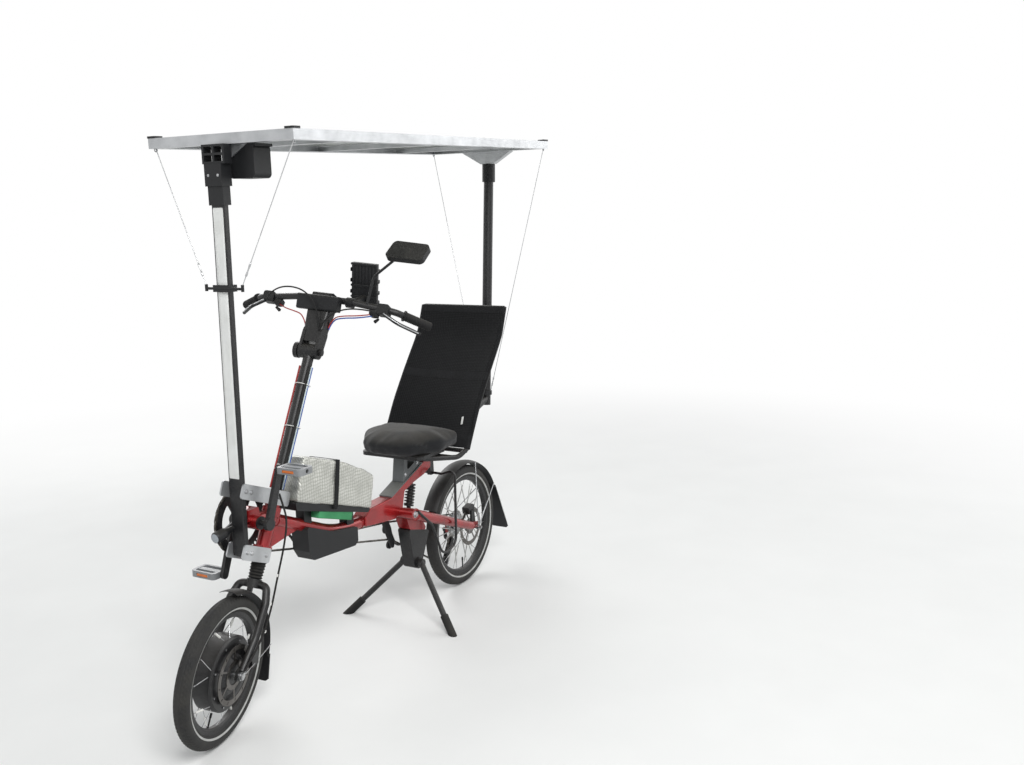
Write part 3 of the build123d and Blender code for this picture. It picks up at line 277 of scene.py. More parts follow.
nodeFinishes = {
    "redLacquer": ("frame", "swingarm"),
    "blackCoat": ("rear_boom", "front_post", "rear_derailleur", "rear_caliper", "pannier_hoops", "stand_bracket",
                  "steering_column", "fork", "front_caliper", "hub_motor", "upper_stem", "handlebar", "crank_arms",
                  "chainring", "stand_legs", "seat_frame", "rear_post", "front_rim", "rear_rim", "rear_shock"),
    "brightSteel": ("rear_hub", "rear_axle", "front_axle"),
    "chainSteel": ("chain",),
    "drawnSteel": ("rear_spokes", "front_spokes", "roof_stays"),
    "anodised": ("roof_frame", "roof_brackets", "post_plates"),
    "discSteel": ("rear_disc", "front_disc"),
    "blackPlastic": ("bottom_bracket", "roof_corners", "post_fittings", "roof_regulator", "battery_base",
                     "controller", "chain_idlers", "rear_fender", "headlamp", "front_fender", "display",
                     "phone_holder", "mirror", "brake_levers"),
    "railGrey": ("seat_rail",),
    "blackRubber": ("fork_bellows", "grips", "stand_feet"),
    "tyreRubber": ("rear_tyre", "front_tyre"),
    "seatNet": ("seat_mesh",),
    "seatCloth": ("seat_cushion",),
    "solarGlass": ("solar_panel",),
    "foil": ("battery_box",),
    "pedalPlastic": ("left_pedal", "right_pedal"),
}
for key, names in nodeFinishes.items():
    for name in names:
        nodes[name].data.materials.clear()
        nodes[name].data.materials.append(finishes[key])
print("finishes set")


# Shapes: each function gives points in millimetres and faces; piece() turns them into one object
def gridFaces(rows, columns, loopRows=False, loopColumns=False):
    r, c = np.meshgrid(np.arange(rows if loopRows else rows - 1), np.arange(columns if loopColumns else columns - 1),
                       indexing="ij")
    r2, c2 = (r + 1) % rows, (c + 1) % columns
    return np.stack([r * columns + c, r2 * columns + c, r2 * columns + c2, r * columns + c2], -1).reshape(-1, 4)


# One vector, or each row of many, made one long.
def unit(vectors):
    vectors = np.array(vectors, float)
    return vectors / np.linalg.norm(vectors, axis=-1, keepdims=True)


# Even angles round a full turn, the last one short of the first.
def fullTurn(count):
    return np.linspace(0, 2 * np.pi, count, endpoint=False)


# Points of a wheel, at these radii and angles about its own Y axis: one point, or a grid of them.
def onWheel(radius, angle, y):
    return np.stack(np.broadcast_arrays(radius * np.cos(angle), y, radius * np.sin(angle)), -1)


# Straight up, leaned forward by an angle in degrees.
def leaned(degrees):
    return np.array((math.sin(math.radians(degrees)), 0.0, math.cos(math.radians(degrees))))


# Three unit axes: two across and the third along the direction.
def axesAlong(direction, near=(0.0, 0.0, 1.0)):
    along = unit(direction)
    if abs(np.dot(along, near)) > 0.95:
        near = (1.0, 0.0, 0.0)
    first = unit(np.cross(near, along))
    return first, np.cross(along, first), along


# A turned shape: each profile row is (distance from start, radius), in millimetres.
def lathe(start, end, profile, sides=40):
    start, end = np.array(start, float), np.array(end, float)
    first, second, along = axesAlong(end - start)
    turn = fullTurn(sides)
    reach, radius = np.array(profile, float).T
    ring = np.cos(turn)[:, None] * first + np.sin(turn)[:, None] * second
    points = start + reach[:, None, None] * along + radius[:, None, None] * ring
    return points.reshape(-1, 3), gridFaces(len(profile), sides, loopColumns=True)


# Copies of one shape, from an array of copies, rings, points round each ring and x, y, z.
def repeated(stack):
    copies, rings, sides = stack.shape[:3]
    cell = gridFaces(rings, sides, loopColumns=True)
    faces = cell[None] + (np.arange(copies) * rings * sides)[:, None, None]
    return stack.reshape(-1, 3), faces.reshape(-1, 4)


# Corner points of a rectangle whose corners are quarter circles.
def roundedOutline(width, height, corner, steps=6):
    turn = np.linspace(0, np.pi / 2, steps)
    quarters = []
    for number, (sx, sy) in enumerate(((1, 1), (-1, 1), (-1, -1), (1, -1))):
        angle = turn + number * np.pi / 2
        quarters.append(np.stack([sx * (width / 2 - corner) + corner * np.cos(angle),
                                  sy * (height / 2 - corner) + corner * np.sin(angle)], -1))
    return np.concatenate(quarters)


# A plate with rounded corners and bevelled rims: size is (across, upward, thickness).
def slab(centre, across, upward, size, corner, bevel=1.5, crown=0.0):
    across, upward = unit(across), unit(upward)
    outward = np.cross(across, upward)
    half = size[2] / 2
    rings = []
    rim = bevel / min(size[:2]) * 2
    for inset, lift in ((1.0, -half), (rim, -half), (0, -half + bevel), (0, half - bevel), (rim, half),
                        (0.5, half + crown * 0.8), (1.0, half + crown)):
        outline = roundedOutline(size[0], size[1], corner) * (1 - inset)
        rings.append(outline[:, :1] * across + outline[:, 1:] * upward + lift * outward)
    points = np.array(centre, float) + np.concatenate(rings)
    return points, gridFaces(len(rings), len(rings[0]), loopColumns=True)


# A torus; wobble gives it the ripples of a weld bead.
def ringShape(centre, axis, radius, thick, sides=48, wobble=0.0):
    first, second, along = axesAlong(axis)
    turn = fullTurn(sides)[:, None, None]
    small = fullTurn(10)[None, :, None]
    thickness = thick * (1 + wobble * np.sin(turn * 22))
    outward = np.cos(turn) * first + np.sin(turn) * second
    points = outward * (radius + thickness * np.cos(small)) + along * thickness * np.sin(small)
    return np.array(centre, float) + points.reshape(-1, 3), gridFaces(sides, 10, True, True)


# What every piece gets: its finish, its body and the plain nodes that it stands for.
def dressed(made, material, body, replaced=()):
    made.data.materials.clear()
    made.data.materials.append(finishes[material])
    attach(made, body)
    if replaced:
        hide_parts(*replaced)
    return made


meshing = {"mergeWithin": 1e-6, "creaseAngle": 40}


# One object from shapes in millimetres: touching points are merged, and sharp edges stay sharp.
def piece(name, shapes, material, body, smooth=True, replaced=(), place=None):
    starts = np.cumsum([0] + [len(points) for points, faces in shapes])
    whole = np.concatenate([points for points, faces in shapes])
    faces = np.concatenate([faces + start for (points, faces), start in zip(shapes, starts)])
    if place is not None:
        whole = place(whole)
    mesh = bpy.data.meshes.new(name)
    mesh.from_pydata((whole / 1000).tolist(), [], faces.tolist())
    merged = bmesh.new()
    merged.from_mesh(mesh)
    bmesh.ops.remove_doubles(merged, verts=merged.verts, dist=meshing["mergeWithin"])
    bmesh.ops.recalc_face_normals(merged, faces=merged.faces)
    merged.to_mesh(mesh)
    merged.free()
    made = newObject(name, mesh)
    if smooth:
        mesh.shade_smooth()
        made.modifiers.new("crease", "EDGE_SPLIT").split_angle = math.radians(meshing["creaseAngle"])
    return dressed(made, material, body, replaced)


# A cable, hose or wire that is tied or clipped along its run: a round tube along a smooth line.
def cable(name, points, radius, material, body, place=None):
    points = np.array(points, float)
    if place is not None:
        points = place(points)
    curve = bpy.data.curves.new(name, "CURVE")
    curve.dimensions = "3D"
    curve.bevel_depth = radius / 1000
    curve.bevel_resolution = 3
    curve.use_fill_caps = True
    line = curve.splines.new("NURBS")
    line.points.add(len(points) - 1)
    for spot, point in zip(line.points, points / 1000):
        spot.co = (*point, 1)
    line.use_endpoint_u = True
    line.order_u = 3
    line.resolution_u = 10
    return dressed(newObject(name, curve), material, body)


# Steering frame: (forward of the axis, left, up along the axis) in millimetres
steer = {"foot": (693.33, 0.0, 194.41), "headAngle": 64.0, "turn": 14.0, "offset": 67.5}
(headSin, _, headCos), (turnSin, _, turnCos) = leaned(steer["headAngle"]), leaned(steer["turn"])
steerAxes = np.array([
    (headSin * turnCos, turnSin, headCos * turnCos),
    (-headSin * turnSin, turnCos, -headCos * turnSin),
    (-headCos, 0.0, headSin),
])


def steered(points):
    return np.array(steer["foot"]) + np.asarray(points, float) @ steerAxes


def rearPlaced(points):
    return np.asarray(points, float) + np.array((-648.0, 0.0, 250.0))


def frontPlaced(points):
    return steered(np.asarray(points, float) + np.array((steer["offset"], 0.0, 0.0)))


# Tyres: the road tread is cut into the crown and a pale band runs round each wall
tyres = {
    "rear": {"radius": 250.0, "bead": 203.2, "body": "rear_wheel", "place": rearPlaced},
    "front": {"radius": 224.0, "bead": 177.7, "body": "front_wheel", "place": frontPlaced},
}
tyreLook = {"width": 47.0, "beadHalf": 13.0, "around": 540, "groove": 1.6, "grooveAt": (0.24, 0.62),
            "grooveWidth": 0.05, "cuts": 90, "slant": 9, "cutLevel": 0.55, "cutFrom": 0.3, "cutTo": 1.0,
            "bandFrom": 0.36, "bandTo": 0.62, "bandGrid": (180, 5), "bandLift": 0.4}


# A half circle crown on two walls that widen as a power of their height; grooves, each a bell across the crown, and
# slanted cuts, where a sine round the tyre is high, lower the crown by the groove depth.
def tyreShape(radius, bead):
    look = tyreLook
    half, inner = look["width"] / 2, look["beadHalf"]
    crown = radius - half
    lift = np.linspace(np.pi / 2, -np.pi / 2, 41)
    wall = np.linspace(0, 1, 6)[:-1]
    section = np.concatenate([
        np.stack([bead + (crown - bead) * wall, -(inner + (half - inner) * wall ** 0.6)], -1),
        np.stack([crown + half * np.cos(lift), -half * np.sin(lift)], -1),
        np.stack([crown - (crown - bead) * (wall + 0.2), half - (half - inner) * (wall + 0.2) ** 1.6], -1),
    ])
    angle = fullTurn(look["around"])[:, None]
    side = np.abs(np.concatenate([np.full(len(wall), 2.0), lift, np.full(len(wall), 2.0)]))[None, :]
    rings = sum(np.exp(-((side - spot) / look["grooveWidth"]) ** 2) for spot in look["grooveAt"])
    cuts = np.sin(angle * look["cuts"] + side * look["slant"]) > look["cutLevel"]
    cuts = cuts * (side > look["cutFrom"]) * (side < look["cutTo"])
    depth = look["groove"] * np.clip(rings + cuts, 0, 1)
    points = onWheel(section[None, :, 0] - depth, angle, section[None, :, 1])
    return points.reshape(-1, 3), gridFaces(look["around"], len(section), True, True)


# A narrow strip just outside the tyre's wall, between two shares of the wall's height.
def wallBand(radius, bead, side):
    half, inner = tyreLook["width"] / 2, tyreLook["beadHalf"]
    around, across = tyreLook["bandGrid"]
    angle = fullTurn(around)[:, None]
    share = np.linspace(tyreLook["bandFrom"], tyreLook["bandTo"], across)[None, :]
    reach = bead + (radius - half - bead) * share
    level = side * (inner + (half - inner) * share ** 0.6 + tyreLook["bandLift"])
    return onWheel(reach, angle, level).reshape(-1, 3), gridFaces(around, across, True)


for name, kind in tyres.items():
    piece(name + "TyreTread", [tyreShape(kind["radius"], kind["bead"])], "tyreRubber", kind["body"],
          replaced=(name + "_tyre",), place=kind["place"])
    piece(name + "WallBands", [wallBand(kind["radius"], kind["bead"], side) for side in (1, -1)], "reflectBand",
          kind["body"], place=kind["place"])
print("tyres made")

# Clips on the spokes: pale tubes over each rear spoke, ties on every third front one; then the valve stems
spokeClips = {"count": 28, "flangeRadius": 30.0, "flangeY": 25.0, "rimRadius": 186.0, "cross": 50.0, "radius": 2.1}
clipPlace = {"flangeStep": 2.2, "rimY": 3.0, "from": 0.42, "to": 0.86, "taper": 0.5}


def clipShapes(settings):
    shapes = []
    for number in range(settings["count"]):
        side = 1 if number % 2 else -1
        lean = 1 if number % 4 < 2 else -1
        rimAngle = 2 * math.pi * number / settings["count"]
        hubAngle = rimAngle - lean * math.radians(settings["cross"])
        flangeY = settings["flangeY"] + clipPlace["flangeStep"] * lean
        start = onWheel(settings["flangeRadius"], hubAngle, side * flangeY)
        end = onWheel(settings["rimRadius"], rimAngle, side * clipPlace["rimY"])
        low, high = start + (end - start) * clipPlace["from"], start + (end - start) * clipPlace["to"]
        reach = float(np.linalg.norm(high - low))
        taper, r = clipPlace["taper"], settings["radius"]
        shapes.append(lathe(low, high, [(0, 0), (taper, r), (reach - taper, r), (reach, 0)], 10))
    return shapes


piece("spokeClips", clipShapes(spokeClips), "reflectBand", "rear_wheel", place=rearPlaced)
frontClips = {"count": 24, "flangeRadius": 111.0, "flangeY": 22.0, "rimRadius": 160.5, "cross": 10.0, "radius": 3.4}
piece("frontClips", clipShapes(frontClips)[::3], "whiteTie", "front_wheel", place=frontPlaced)
valve = [(0, 0), (0, 2.6), (30, 2.6), (31, 3.4), (44, 3.4), (45, 0)]
piece("rearValve", [lathe((0, 0, -188), (0, 0, -143), valve, 16)], "blackRubber", "rear_wheel", place=rearPlaced)
piece("frontValve", [lathe((0, 0, -162), (0, 0, -117), valve, 16)], "blackRubber", "front_wheel", place=frontPlaced)

# Sprocket teeth: low ridged rings over the plain discs
sprockets = (11, 12, 14, 16, 18, 21, 24, 28)
chainLine = {"y": -45.0, "pitch": 12.7, "gap": 5.0, "plateSides": 14, "plateEnd": 4.0, "plateHalf": 3.9,
             "waist": 0.72, "outer": 3.0, "inner": 2.0, "plate": 0.5, "rollerSides": 8, "roller": 2.6,
             "rollerHalf": 3.5}


# A disc rim whose radius rises and falls once for each tooth.
def toothRing(teeth, y, thickness):
    radius = teeth * chainLine["pitch"] / (2 * np.pi)
    turn = fullTurn(teeth * 12)
    outer = radius - 1.2 + 3.4 * np.clip(np.cos(turn * teeth) * 0.9, -1, 0.75)
    rings = []
    for reach, lift in ((radius * 0.6, -0.6), (outer - 0.8, -thickness / 2), (outer, -0.3), (outer, 0.3),
                        (outer - 0.8, thickness / 2), (radius * 0.6, 0.6)):
        rings.append(onWheel(reach, turn, y + lift))
    return np.concatenate(rings), gridFaces(6, len(turn), True, True)


toothRings = [toothRing(t, chainLine["y"] + chainLine["gap"] * (i - 4), 2.6) for i, t in enumerate(sprockets)]
piece("sprocketTeeth", toothRings, "chainSteel", "rear_wheel", place=rearPlaced)

# Chain: plates and rollers set along the run round the chainring, idlers, sprocket and pulleys
chainCircles = np.array([
    # x, z, radius at the chain's centre line, turn
    (567, 626, 52 * 12.7 / (2 * math.pi), 1),
    (312, 500, 28, -1),
    (-180, 368, 24, 1),
    (-648, 250, 18 * 12.7 / (2 * math.pi), 1),
    (-634, 178, 22, -1),
    (-588, 106, 22, 1),
    (-196, 300, 20, -1),
])


# How far along a broken line each of its points lies.
def travelled(line):
    return np.concatenate([[0], np.cumsum(np.linalg.norm(np.diff(line, axis=0), axis=1))])


# Points at these distances along a broken line.
def pointsAt(line, spots):
    travel = travelled(line)
    return np.stack([np.interp(spots, travel, values) for values in line.T], -1)


# Points along the tangent lines and the arcs between them, then evenly spaced by the chain's pitch.
def chainRun(circles):
    line = []
    touches = []
    for index, (x1, z1, r1, t1) in enumerate(circles):
        x2, z2, r2, t2 = circles[(index + 1) % len(circles)]
        heading = math.atan2(z2 - z1, x2 - x1) + math.asin((t1 * r1 - t2 * r2) / math.hypot(x2 - x1, z2 - z1))
        normal = np.array((math.sin(heading), -math.cos(heading)))
        touches.append((np.array((x1, z1)) + t1 * r1 * normal, np.array((x2, z2)) + t2 * r2 * normal))
    for index, (leave, arrive) in enumerate(touches):
        line.append(leave + (arrive - leave) * np.linspace(0, 1, 200, endpoint=False)[:, None])
        x, z, radius, turn = circles[(index + 1) % len(circles)]
        following = touches[(index + 1) % len(circles)][0]
        first = math.atan2(arrive[1] - z, arrive[0] - x)
        last = math.atan2(following[1] - z, following[0] - x)
        sweep = (last - first) * turn % (2 * math.pi)
        angle = first + turn * np.linspace(0, sweep, 120, endpoint=False)
        line.append(np.stack([x + radius * np.cos(angle), z + radius * np.sin(angle)], -1))
    line = np.concatenate(line + [line[0][:1]])
    length = travelled(line)[-1]
    links = int(round(length / chainLine["pitch"] / 2)) * 2
    return pointsAt(line, np.linspace(0, length, links, endpoint=False))


# A flat outline round each centre, closed to a point at both ends of its stretch across the chain.
def capped(centres, outline, ends):
    rings = []
    for grown, end in ((0, 0), (1, 0), (1, 1), (0, 1)):
        ring = centres[:, None] + grown * outline
        level = np.broadcast_to(np.reshape(chainLine["y"] + ends[end], (-1, 1)), ring.shape[:2])
        rings.append(np.stack([ring[..., 0], level, ring[..., 1]], -1))
    return repeated(np.stack(rings, 1))


# Each link is two plates, x = half length times cosine and z = half width times a blunt sine that is least at the
# middle; inner and outer pairs alternate, with a roller at every pin.
def chainShapes(circles):
    pins = chainRun(circles)
    ahead = np.roll(pins, -1, axis=0)
    middle, along = (pins + ahead) / 2, unit(ahead - pins)
    upward = np.stack([-along[:, 1], along[:, 0]], -1)
    turn = fullTurn(chainLine["plateSides"])
    waist = chainLine["waist"]
    plateX = (chainLine["pitch"] / 2 + chainLine["plateEnd"]) * np.cos(turn)
    blunt = np.sign(np.sin(turn)) * np.abs(np.sin(turn)) ** 0.6
    plateZ = chainLine["plateHalf"] * blunt * (waist + (1 - waist) * np.abs(np.cos(turn)))
    outline = plateX[None, :, None] * along[:, None] + plateZ[None, :, None] * upward[:, None]
    built = []
    for side in (-1, 1):
        offset = np.where(np.arange(len(pins)) % 2, chainLine["outer"], chainLine["inner"])
        ends = [(offset + half) * side for half in (chainLine["plate"], -chainLine["plate"])]
        built.append(capped(middle, outline, ends))
    small = fullTurn(chainLine["rollerSides"])
    rollerEdge = chainLine["roller"] * np.stack([np.cos(small), np.sin(small)], -1)
    return built + [capped(pins, rollerEdge, (-chainLine["rollerHalf"], chainLine["rollerHalf"]))]


piece("chainLinks", chainShapes(chainCircles), "chainSteel", "frame", replaced=("chain",),
      smooth=False)
print("chain made")

# Seat back: one net stretched round the side tubes, hollow between them, with bands at its foot, middle and top
seatBack = {
    "line": ((-398, 650), (-434, 715), (-485, 802), (-570, 917), (-675, 1049), (-716, 1156)),
    "half": 186.5,
    "wrap": 11.5,
    "sag": 16.0,
    "sagPower": 2.4,
    "edgeEase": 8,
    "leastSag": 0.25,
    "behind": 6.0,
    "bandLift": 1.4,
    "cloth": 0.0014,
    "rows": 90,
    "columns": 60,
}


# Even points along a broken line, rounded by averaging each with its neighbours.
def smoothLine(points, count, passes=30):
    points = np.array(points, float)
    line = pointsAt(points, np.linspace(0, travelled(points)[-1], count))
    for _ in range(passes):
        line[1:-1] = (line[:-2] + 2 * line[1:-1] + line[2:]) / 4
    return line


# Across: round the left tube, over the hollow span and round the right tube. Along: the back's own curve.
def backShape(settings, lift=0.0, first=0.0, last=1.0):
    line = smoothLine(settings["line"], settings["rows"])
    slope = unit(np.gradient(line, axis=0))
    forward = np.stack([slope[:, 1], -slope[:, 0]], -1)
    half, wrap = settings["half"], settings["wrap"]
    turn = np.linspace(-np.pi * 0.75, np.pi / 2, 14)
    leftY, leftN = half + wrap * np.cos(turn), wrap * np.sin(turn)
    span = np.linspace(1, -1, settings["columns"])[1:-1]
    spanN = wrap - settings["sag"] * (1 - np.abs(span) ** settings["sagPower"])
    y = np.concatenate([leftY, half * span, -leftY[::-1]])
    n = np.concatenate([leftN, spanN, leftN[::-1]])
    share = np.linspace(0, 1, settings["rows"])[:, None]
    ease = np.clip(np.minimum(share, 1 - share) * settings["edgeEase"], settings["leastSag"], 1)
    deep = np.where(np.abs(y)[None] < half, wrap + (n[None] - wrap) * ease, n[None])
    centre = line - forward * settings["behind"]
    x = centre[:, :1] + forward[:, :1] * (deep + lift)
    z = centre[:, 1:] + forward[:, 1:] * (deep + lift)
    points = np.stack([x, np.broadcast_to(y, x.shape), z], -1)
    points = points[(share[:, 0] >= first) & (share[:, 0] <= last)]
    width, length = (float(travelled(course)[-1]) for course in (np.stack([y, n], -1), line))
    return (points.reshape(-1, 3), gridFaces(len(points), len(y))), width, length


backNet, netWidth, netLength = backShape(seatBack)
net = piece("seatBackNet", [backNet], "seatNet", "frame", replaced=("seat_mesh",))
net.modifiers.remove(net.modifiers["crease"])
thick = net.modifiers.new("clothThickness", "SOLIDIFY")
thick.thickness = seatBack["cloth"]
thick.offset = 0.0
bands = [backShape(seatBack, seatBack["bandLift"], first, last)[0]
         for first, last in ((0.0, 0.1), (0.47, 0.53), (0.95, 1.0))]
piece("seatBackBands", bands, "strapWeb", "frame")
piece("seatTag", [slab((-436, 150, 748), (0, 1, 0.3), (-0.4, 0, 1), (9, 30, 1.6), 2, 0.5)], "whiteTie", "frame")
print("seat back made")


# Applies the object's modifiers to its mesh.
def applied(made):
    graph = bpy.context.evaluated_depsgraph_get()
    graph.update()
    fresh = bpy.data.meshes.new_from_object(made.evaluated_get(graph))
    made.modifiers.clear()
    made.data = fresh


# A copy of a plain node's mesh in small even faces.
def remeshed(name, source, voxelSize):
    made = newObject(name, nodes[source].data.copy())
    voxel = made.modifiers.new("voxel", "REMESH")
    voxel.mode = "VOXEL"
    voxel.voxel_size = voxelSize
    applied(made)
    return made


def vertexValues(made, key):
    values = np.empty(len(made.data.vertices) * 3)
    made.data.vertices.foreach_get(key, values)
    return values.reshape(-1, 3)


def movePoints(made, points):
    made.data.vertices.foreach_set("co", points.ravel())
    made.data.update()
    made.data.shade_smooth()


# Cushion: swollen by a short cloth simulation, then smoothed and domed
cushion = {
    "voxel": 0.006, "shrink": 0.001, "pressure": 4.0, "frames": 18, "cap": 0.013, "smoothing": 12, "fill": 0.8,
    "crown": 0.007, "sink": 0.006, "seamPinch": 0.002, "seamLevel": 0.4, "seamWidth": 0.05, "rimPinch": 0.012,
}


# The crown is a parabola of the distance from the middle. The sides are drawn in by a narrow bell at the seam's
# level and by the fourth power of the distance from half height, which rounds the upper and lower rims.
def softCushion(settings):
    made = remeshed("cushionPad", "seat_cushion", settings["voxel"])
    start = vertexValues(made, "co")
    shape = start - vertexValues(made, "normal") * settings["shrink"]
    movePoints(made, shape)
    cloth = made.modifiers.new("swell", "CLOTH")
    cloth.settings.use_pressure = True
    cloth.settings.uniform_pressure_force = settings["pressure"]
    cloth.settings.effector_weights.gravity = 0
    for number in range(1, settings["frames"] + 1):
        bpy.context.scene.frame_set(number)
    applied(made)
    bpy.context.scene.frame_set(1)
    move = vertexValues(made, "co") - shape
    reach = np.linalg.norm(move, axis=1)[:, None]
    shape = shape + move * np.minimum(1, settings["cap"] / np.maximum(reach, 1e-9))
    movePoints(made, shape)
    smooth = made.modifiers.new("smooth", "SMOOTH")  # the cover is moulded, so the swelling keeps no wrinkles
    smooth.factor = 0.5
    smooth.iterations = settings["smoothing"]
    applied(made)
    shape = vertexValues(made, "co")
    low, high = start[:, 2].min(), start[:, 2].max()
    across = (shape[:, 0] - shape[:, 0].mean()) / np.ptp(shape[:, 0])
    side = shape[:, 1] / np.ptp(shape[:, 1])
    crown = settings["crown"] * (1 - np.clip(np.hypot(across, side) * 1.7, 0, 1) ** 2)
    level = (shape[:, 2] - low) / (high - low)
    pinch = (settings["seamPinch"] * np.exp(-((level - settings["seamLevel"]) / settings["seamWidth"]) ** 2)
             + settings["rimPinch"] * np.abs(2 * level - 1) ** 4)
    shape[:, 2] += crown * np.clip(level, 0, 1) - settings["sink"] * np.clip(level, 0, 1)
    shape[:, 0] -= pinch * across * 2
    shape[:, 1] -= pinch * side * 2
    shape[:, 2] = np.maximum(shape[:, 2], low)
    movePoints(made, shape)
    smoother = made.modifiers.new("subdivide", "SUBSURF")
    smoother.levels = smoother.render_levels = 1
    dressed(made, "seatCloth", "frame", ("seat_cushion",))


softCushion(cushion)
print("cushion made")

# Battery box: bubble foil round the box, creased along random planes
foilWrap = {"voxel": 0.005, "creases": 26, "depth": 0.0014, "seed": 7, "spacing": (0.03, 0.11)}


# Each crease adds a folded ramp along one random direction; together they crumple the faces.
def foilBox(settings):
    made = remeshed("foilBox", "battery_box", settings["voxel"])
    points, normals = vertexValues(made, "co"), vertexValues(made, "normal")
    chance = np.random.default_rng(settings["seed"])
    directions = unit(chance.normal(size=(settings["creases"], 3)))
    spacing = chance.uniform(*settings["spacing"], settings["creases"])
    phase = chance.uniform(0, 1, settings["creases"])
    folds = np.abs((points @ directions.T / spacing + phase) % 1 - 0.5) * 2
    height = folds.mean(axis=1)
    height = (height - height.mean()) / height.std() * settings["depth"] * 0.55
    movePoints(made, points + normals * height[:, None])
    dressed(made, "foil", "frame", ("battery_box",))


foilBox(foilWrap)


# A flat band round a closed outline of corners, as wide as told along one direction.
def bandShape(corners, width, thick, along):
    corners = smoothLine(list(corners) + [corners[0]], 120, 6)[:-1]
    along = unit(along)
    centre = corners.mean(axis=0)
    outward = corners - centre
    outward = unit(outward - (outward @ along)[:, None] * along)
    rings = [corners + outward * o + along * a for o, a in ((0, -width / 2), (thick, -width / 2 + 0.5),
                                                           (thick, width / 2 - 0.5), (0, width / 2))]
    return np.stack(rings, 1).reshape(-1, 3), gridFaces(len(corners), 4, True, True)


strapCorners = [(212, 58.5, 739), (212, -58.5, 739), (236, -58.5, 577), (236, 58.5, 577)]
piece("boxStrap", [bandShape(strapCorners, 20, 2.0, (1, 0, 0.32))], "strapWeb", "frame")
piece("foamPad", [slab((222, 0, 553), (386, 0, 129), (0, 1, 0), (182, 96, 32), 5, 2)], "greenFoam", "frame")
print("battery box made")

# Rear shock: damper body and shaft with a coil spring between two collars
shock = {"low": (-266, 0, 420), "high": (-296, 0, 538), "wire": 3.2, "coilRadius": 16.5, "turns": 6.5,
         "rings": 260, "from": 0.2, "to": 0.8}


# A tube round a helix: the helix turns evenly while it climbs from one collar to the other.
def springShape(settings):
    low, high = np.array(settings["low"], float), np.array(settings["high"], float)
    first, second, along = axesAlong(high - low)
    reach = np.linalg.norm(high - low)
    turn = np.linspace(0, settings["turns"] * 2 * np.pi, settings["rings"])[:, None]
    climb = np.linspace(settings["from"], settings["to"], len(turn))[:, None] * reach
    outward = np.cos(turn) * first + np.sin(turn) * second
    line = low + outward * settings["coilRadius"] + along * climb
    small = fullTurn(10)[None, :, None]
    wire = np.full((len(turn), 1, 1), settings["wire"])
    wire[[0, -1]] = 0.0  # the wire's two ends close to a point
    points = line[:, None] + wire * (np.cos(small) * outward[:, None] + np.sin(small) * along)
    return points.reshape(-1, 3), gridFaces(len(turn), 10, loopColumns=True)


shockProfile = [(0, 0), (0, 8), (18, 8), (18, 19), (24, 19), (24, 11), (70, 11), (70, 6), (96, 6), (96, 19),
                (102, 19), (102, 8), (121, 8), (121, 0)]
shockBody = lathe(shock["low"], shock["high"], shockProfile, 32)
piece("shockSpring", [springShape(shock), shockBody], "blackCoat", "frame", replaced=("rear_shock",))

# Grips: ribbed rubber along the bar's ends
gripShapes = []
for side in (-1, 1):
    outer = np.array((-126.0, side * 337.0, 1178.0))
    inner = np.array((-46.0, side * 240.0, 1190.0))
    along = unit(outer - inner)
    reach = np.linspace(0, 92, 93)
    ribs = 14.4 + 0.8 * (np.sin(reach * 2 * np.pi / 6) > 0)
    profile = [(0, 11.2), (0, 18.0), (5, 18.0)] + list(zip(5.5 + reach, ribs)) + [(99, 14), (99, 9), (99, 0)]
    gripShapes.append(lathe(outer - along * 96, outer + along * 3, profile, 40))
piece("ribbedGrips", gripShapes, "blackRubber", "handlebar", replaced=("grips",),
      place=steered)

# Handlebar fittings: display and phone glass, holder ribs, shifters, lever edges and mirror glass
display = {"tilt": 12, "centre": (14.0, -2.0, 1174.0), "lift": 16.2, "size": (128, 38, 1.6)}
holder = {"tilt": 30, "centre": (-95.0, 92.0, 1288.0)}
mirror = {"centre": (28, 273, 1366), "out": (1, -0.1, 0.42), "across": (0.1, 1, 0), "size": (116, 56, 1.2)}
displayFace = np.array(display["centre"]) - leaned(display["tilt"] + 90) * display["lift"]
displayPane = slab(displayFace, (0, -1, 0), leaned(display["tilt"]), display["size"], 4, 0.4)
holderUp, holderOut = leaned(holder["tilt"]), leaned(holder["tilt"] + 90)


# A slab on the holder, at (out of its back, left, up along it) from its centre.
def holderSlab(place, size, corner, bevel, across=(0, 1, 0)):
    centre = np.array(holder["centre"]) + holderOut * place[0] + holderUp * place[2] + np.array((0, place[1], 0))
    return slab(centre, across, holderUp, size, corner, bevel)


ribShapes = [holderSlab((11.4, y, 34), (5, 62, 4), 2, 1.2) for y in np.linspace(-36, 36, 7)]
ribShapes += [holderSlab((11.8, 0, lift), (94, 8, 5), 3, 1.5) for lift in (70, -2, -40)]
ribShapes += [holderSlab((0, y, lift), (26, 13, 5), 4, 1.5, holderOut) for lift in (50, 14, -24, -56)
              for y in (-47, 47)]
shifters = []
for side in (-1, 1):
    shifters.append(slab((-40, side * 172, 1176), (0, 1, 0), (1, 0, 0.2), (30, 34, 22), 8, 4, 3))
    shifters.append(lathe((-52, side * 186, 1162), (-60, side * 168, 1150), [(0, 0), (0, 4), (18, 6), (21, 0)], 16))
caps = [slab((-42, side * 172, 1188), (0, 1, 0), (1, 0, 0.2), (18, 6, 3), 2, 1, 1) for side in (-1, 1)]
for name, shapes, material in (
    ("displayGlass", [displayPane], "screenGlass"),
    ("phoneGlass", [holderSlab((-10.6, 0, 0), (82, 136, 2), 8, 0.6, (0, -1, 0))], "screenGlass"),
    ("holderRibs", ribShapes, "blackPlastic"),
    ("shifterPods", shifters, "blackPlastic"),
    ("buttonCaps", caps, "amberLens"),
):
    piece(name, shapes, material, "handlebar", place=steered)
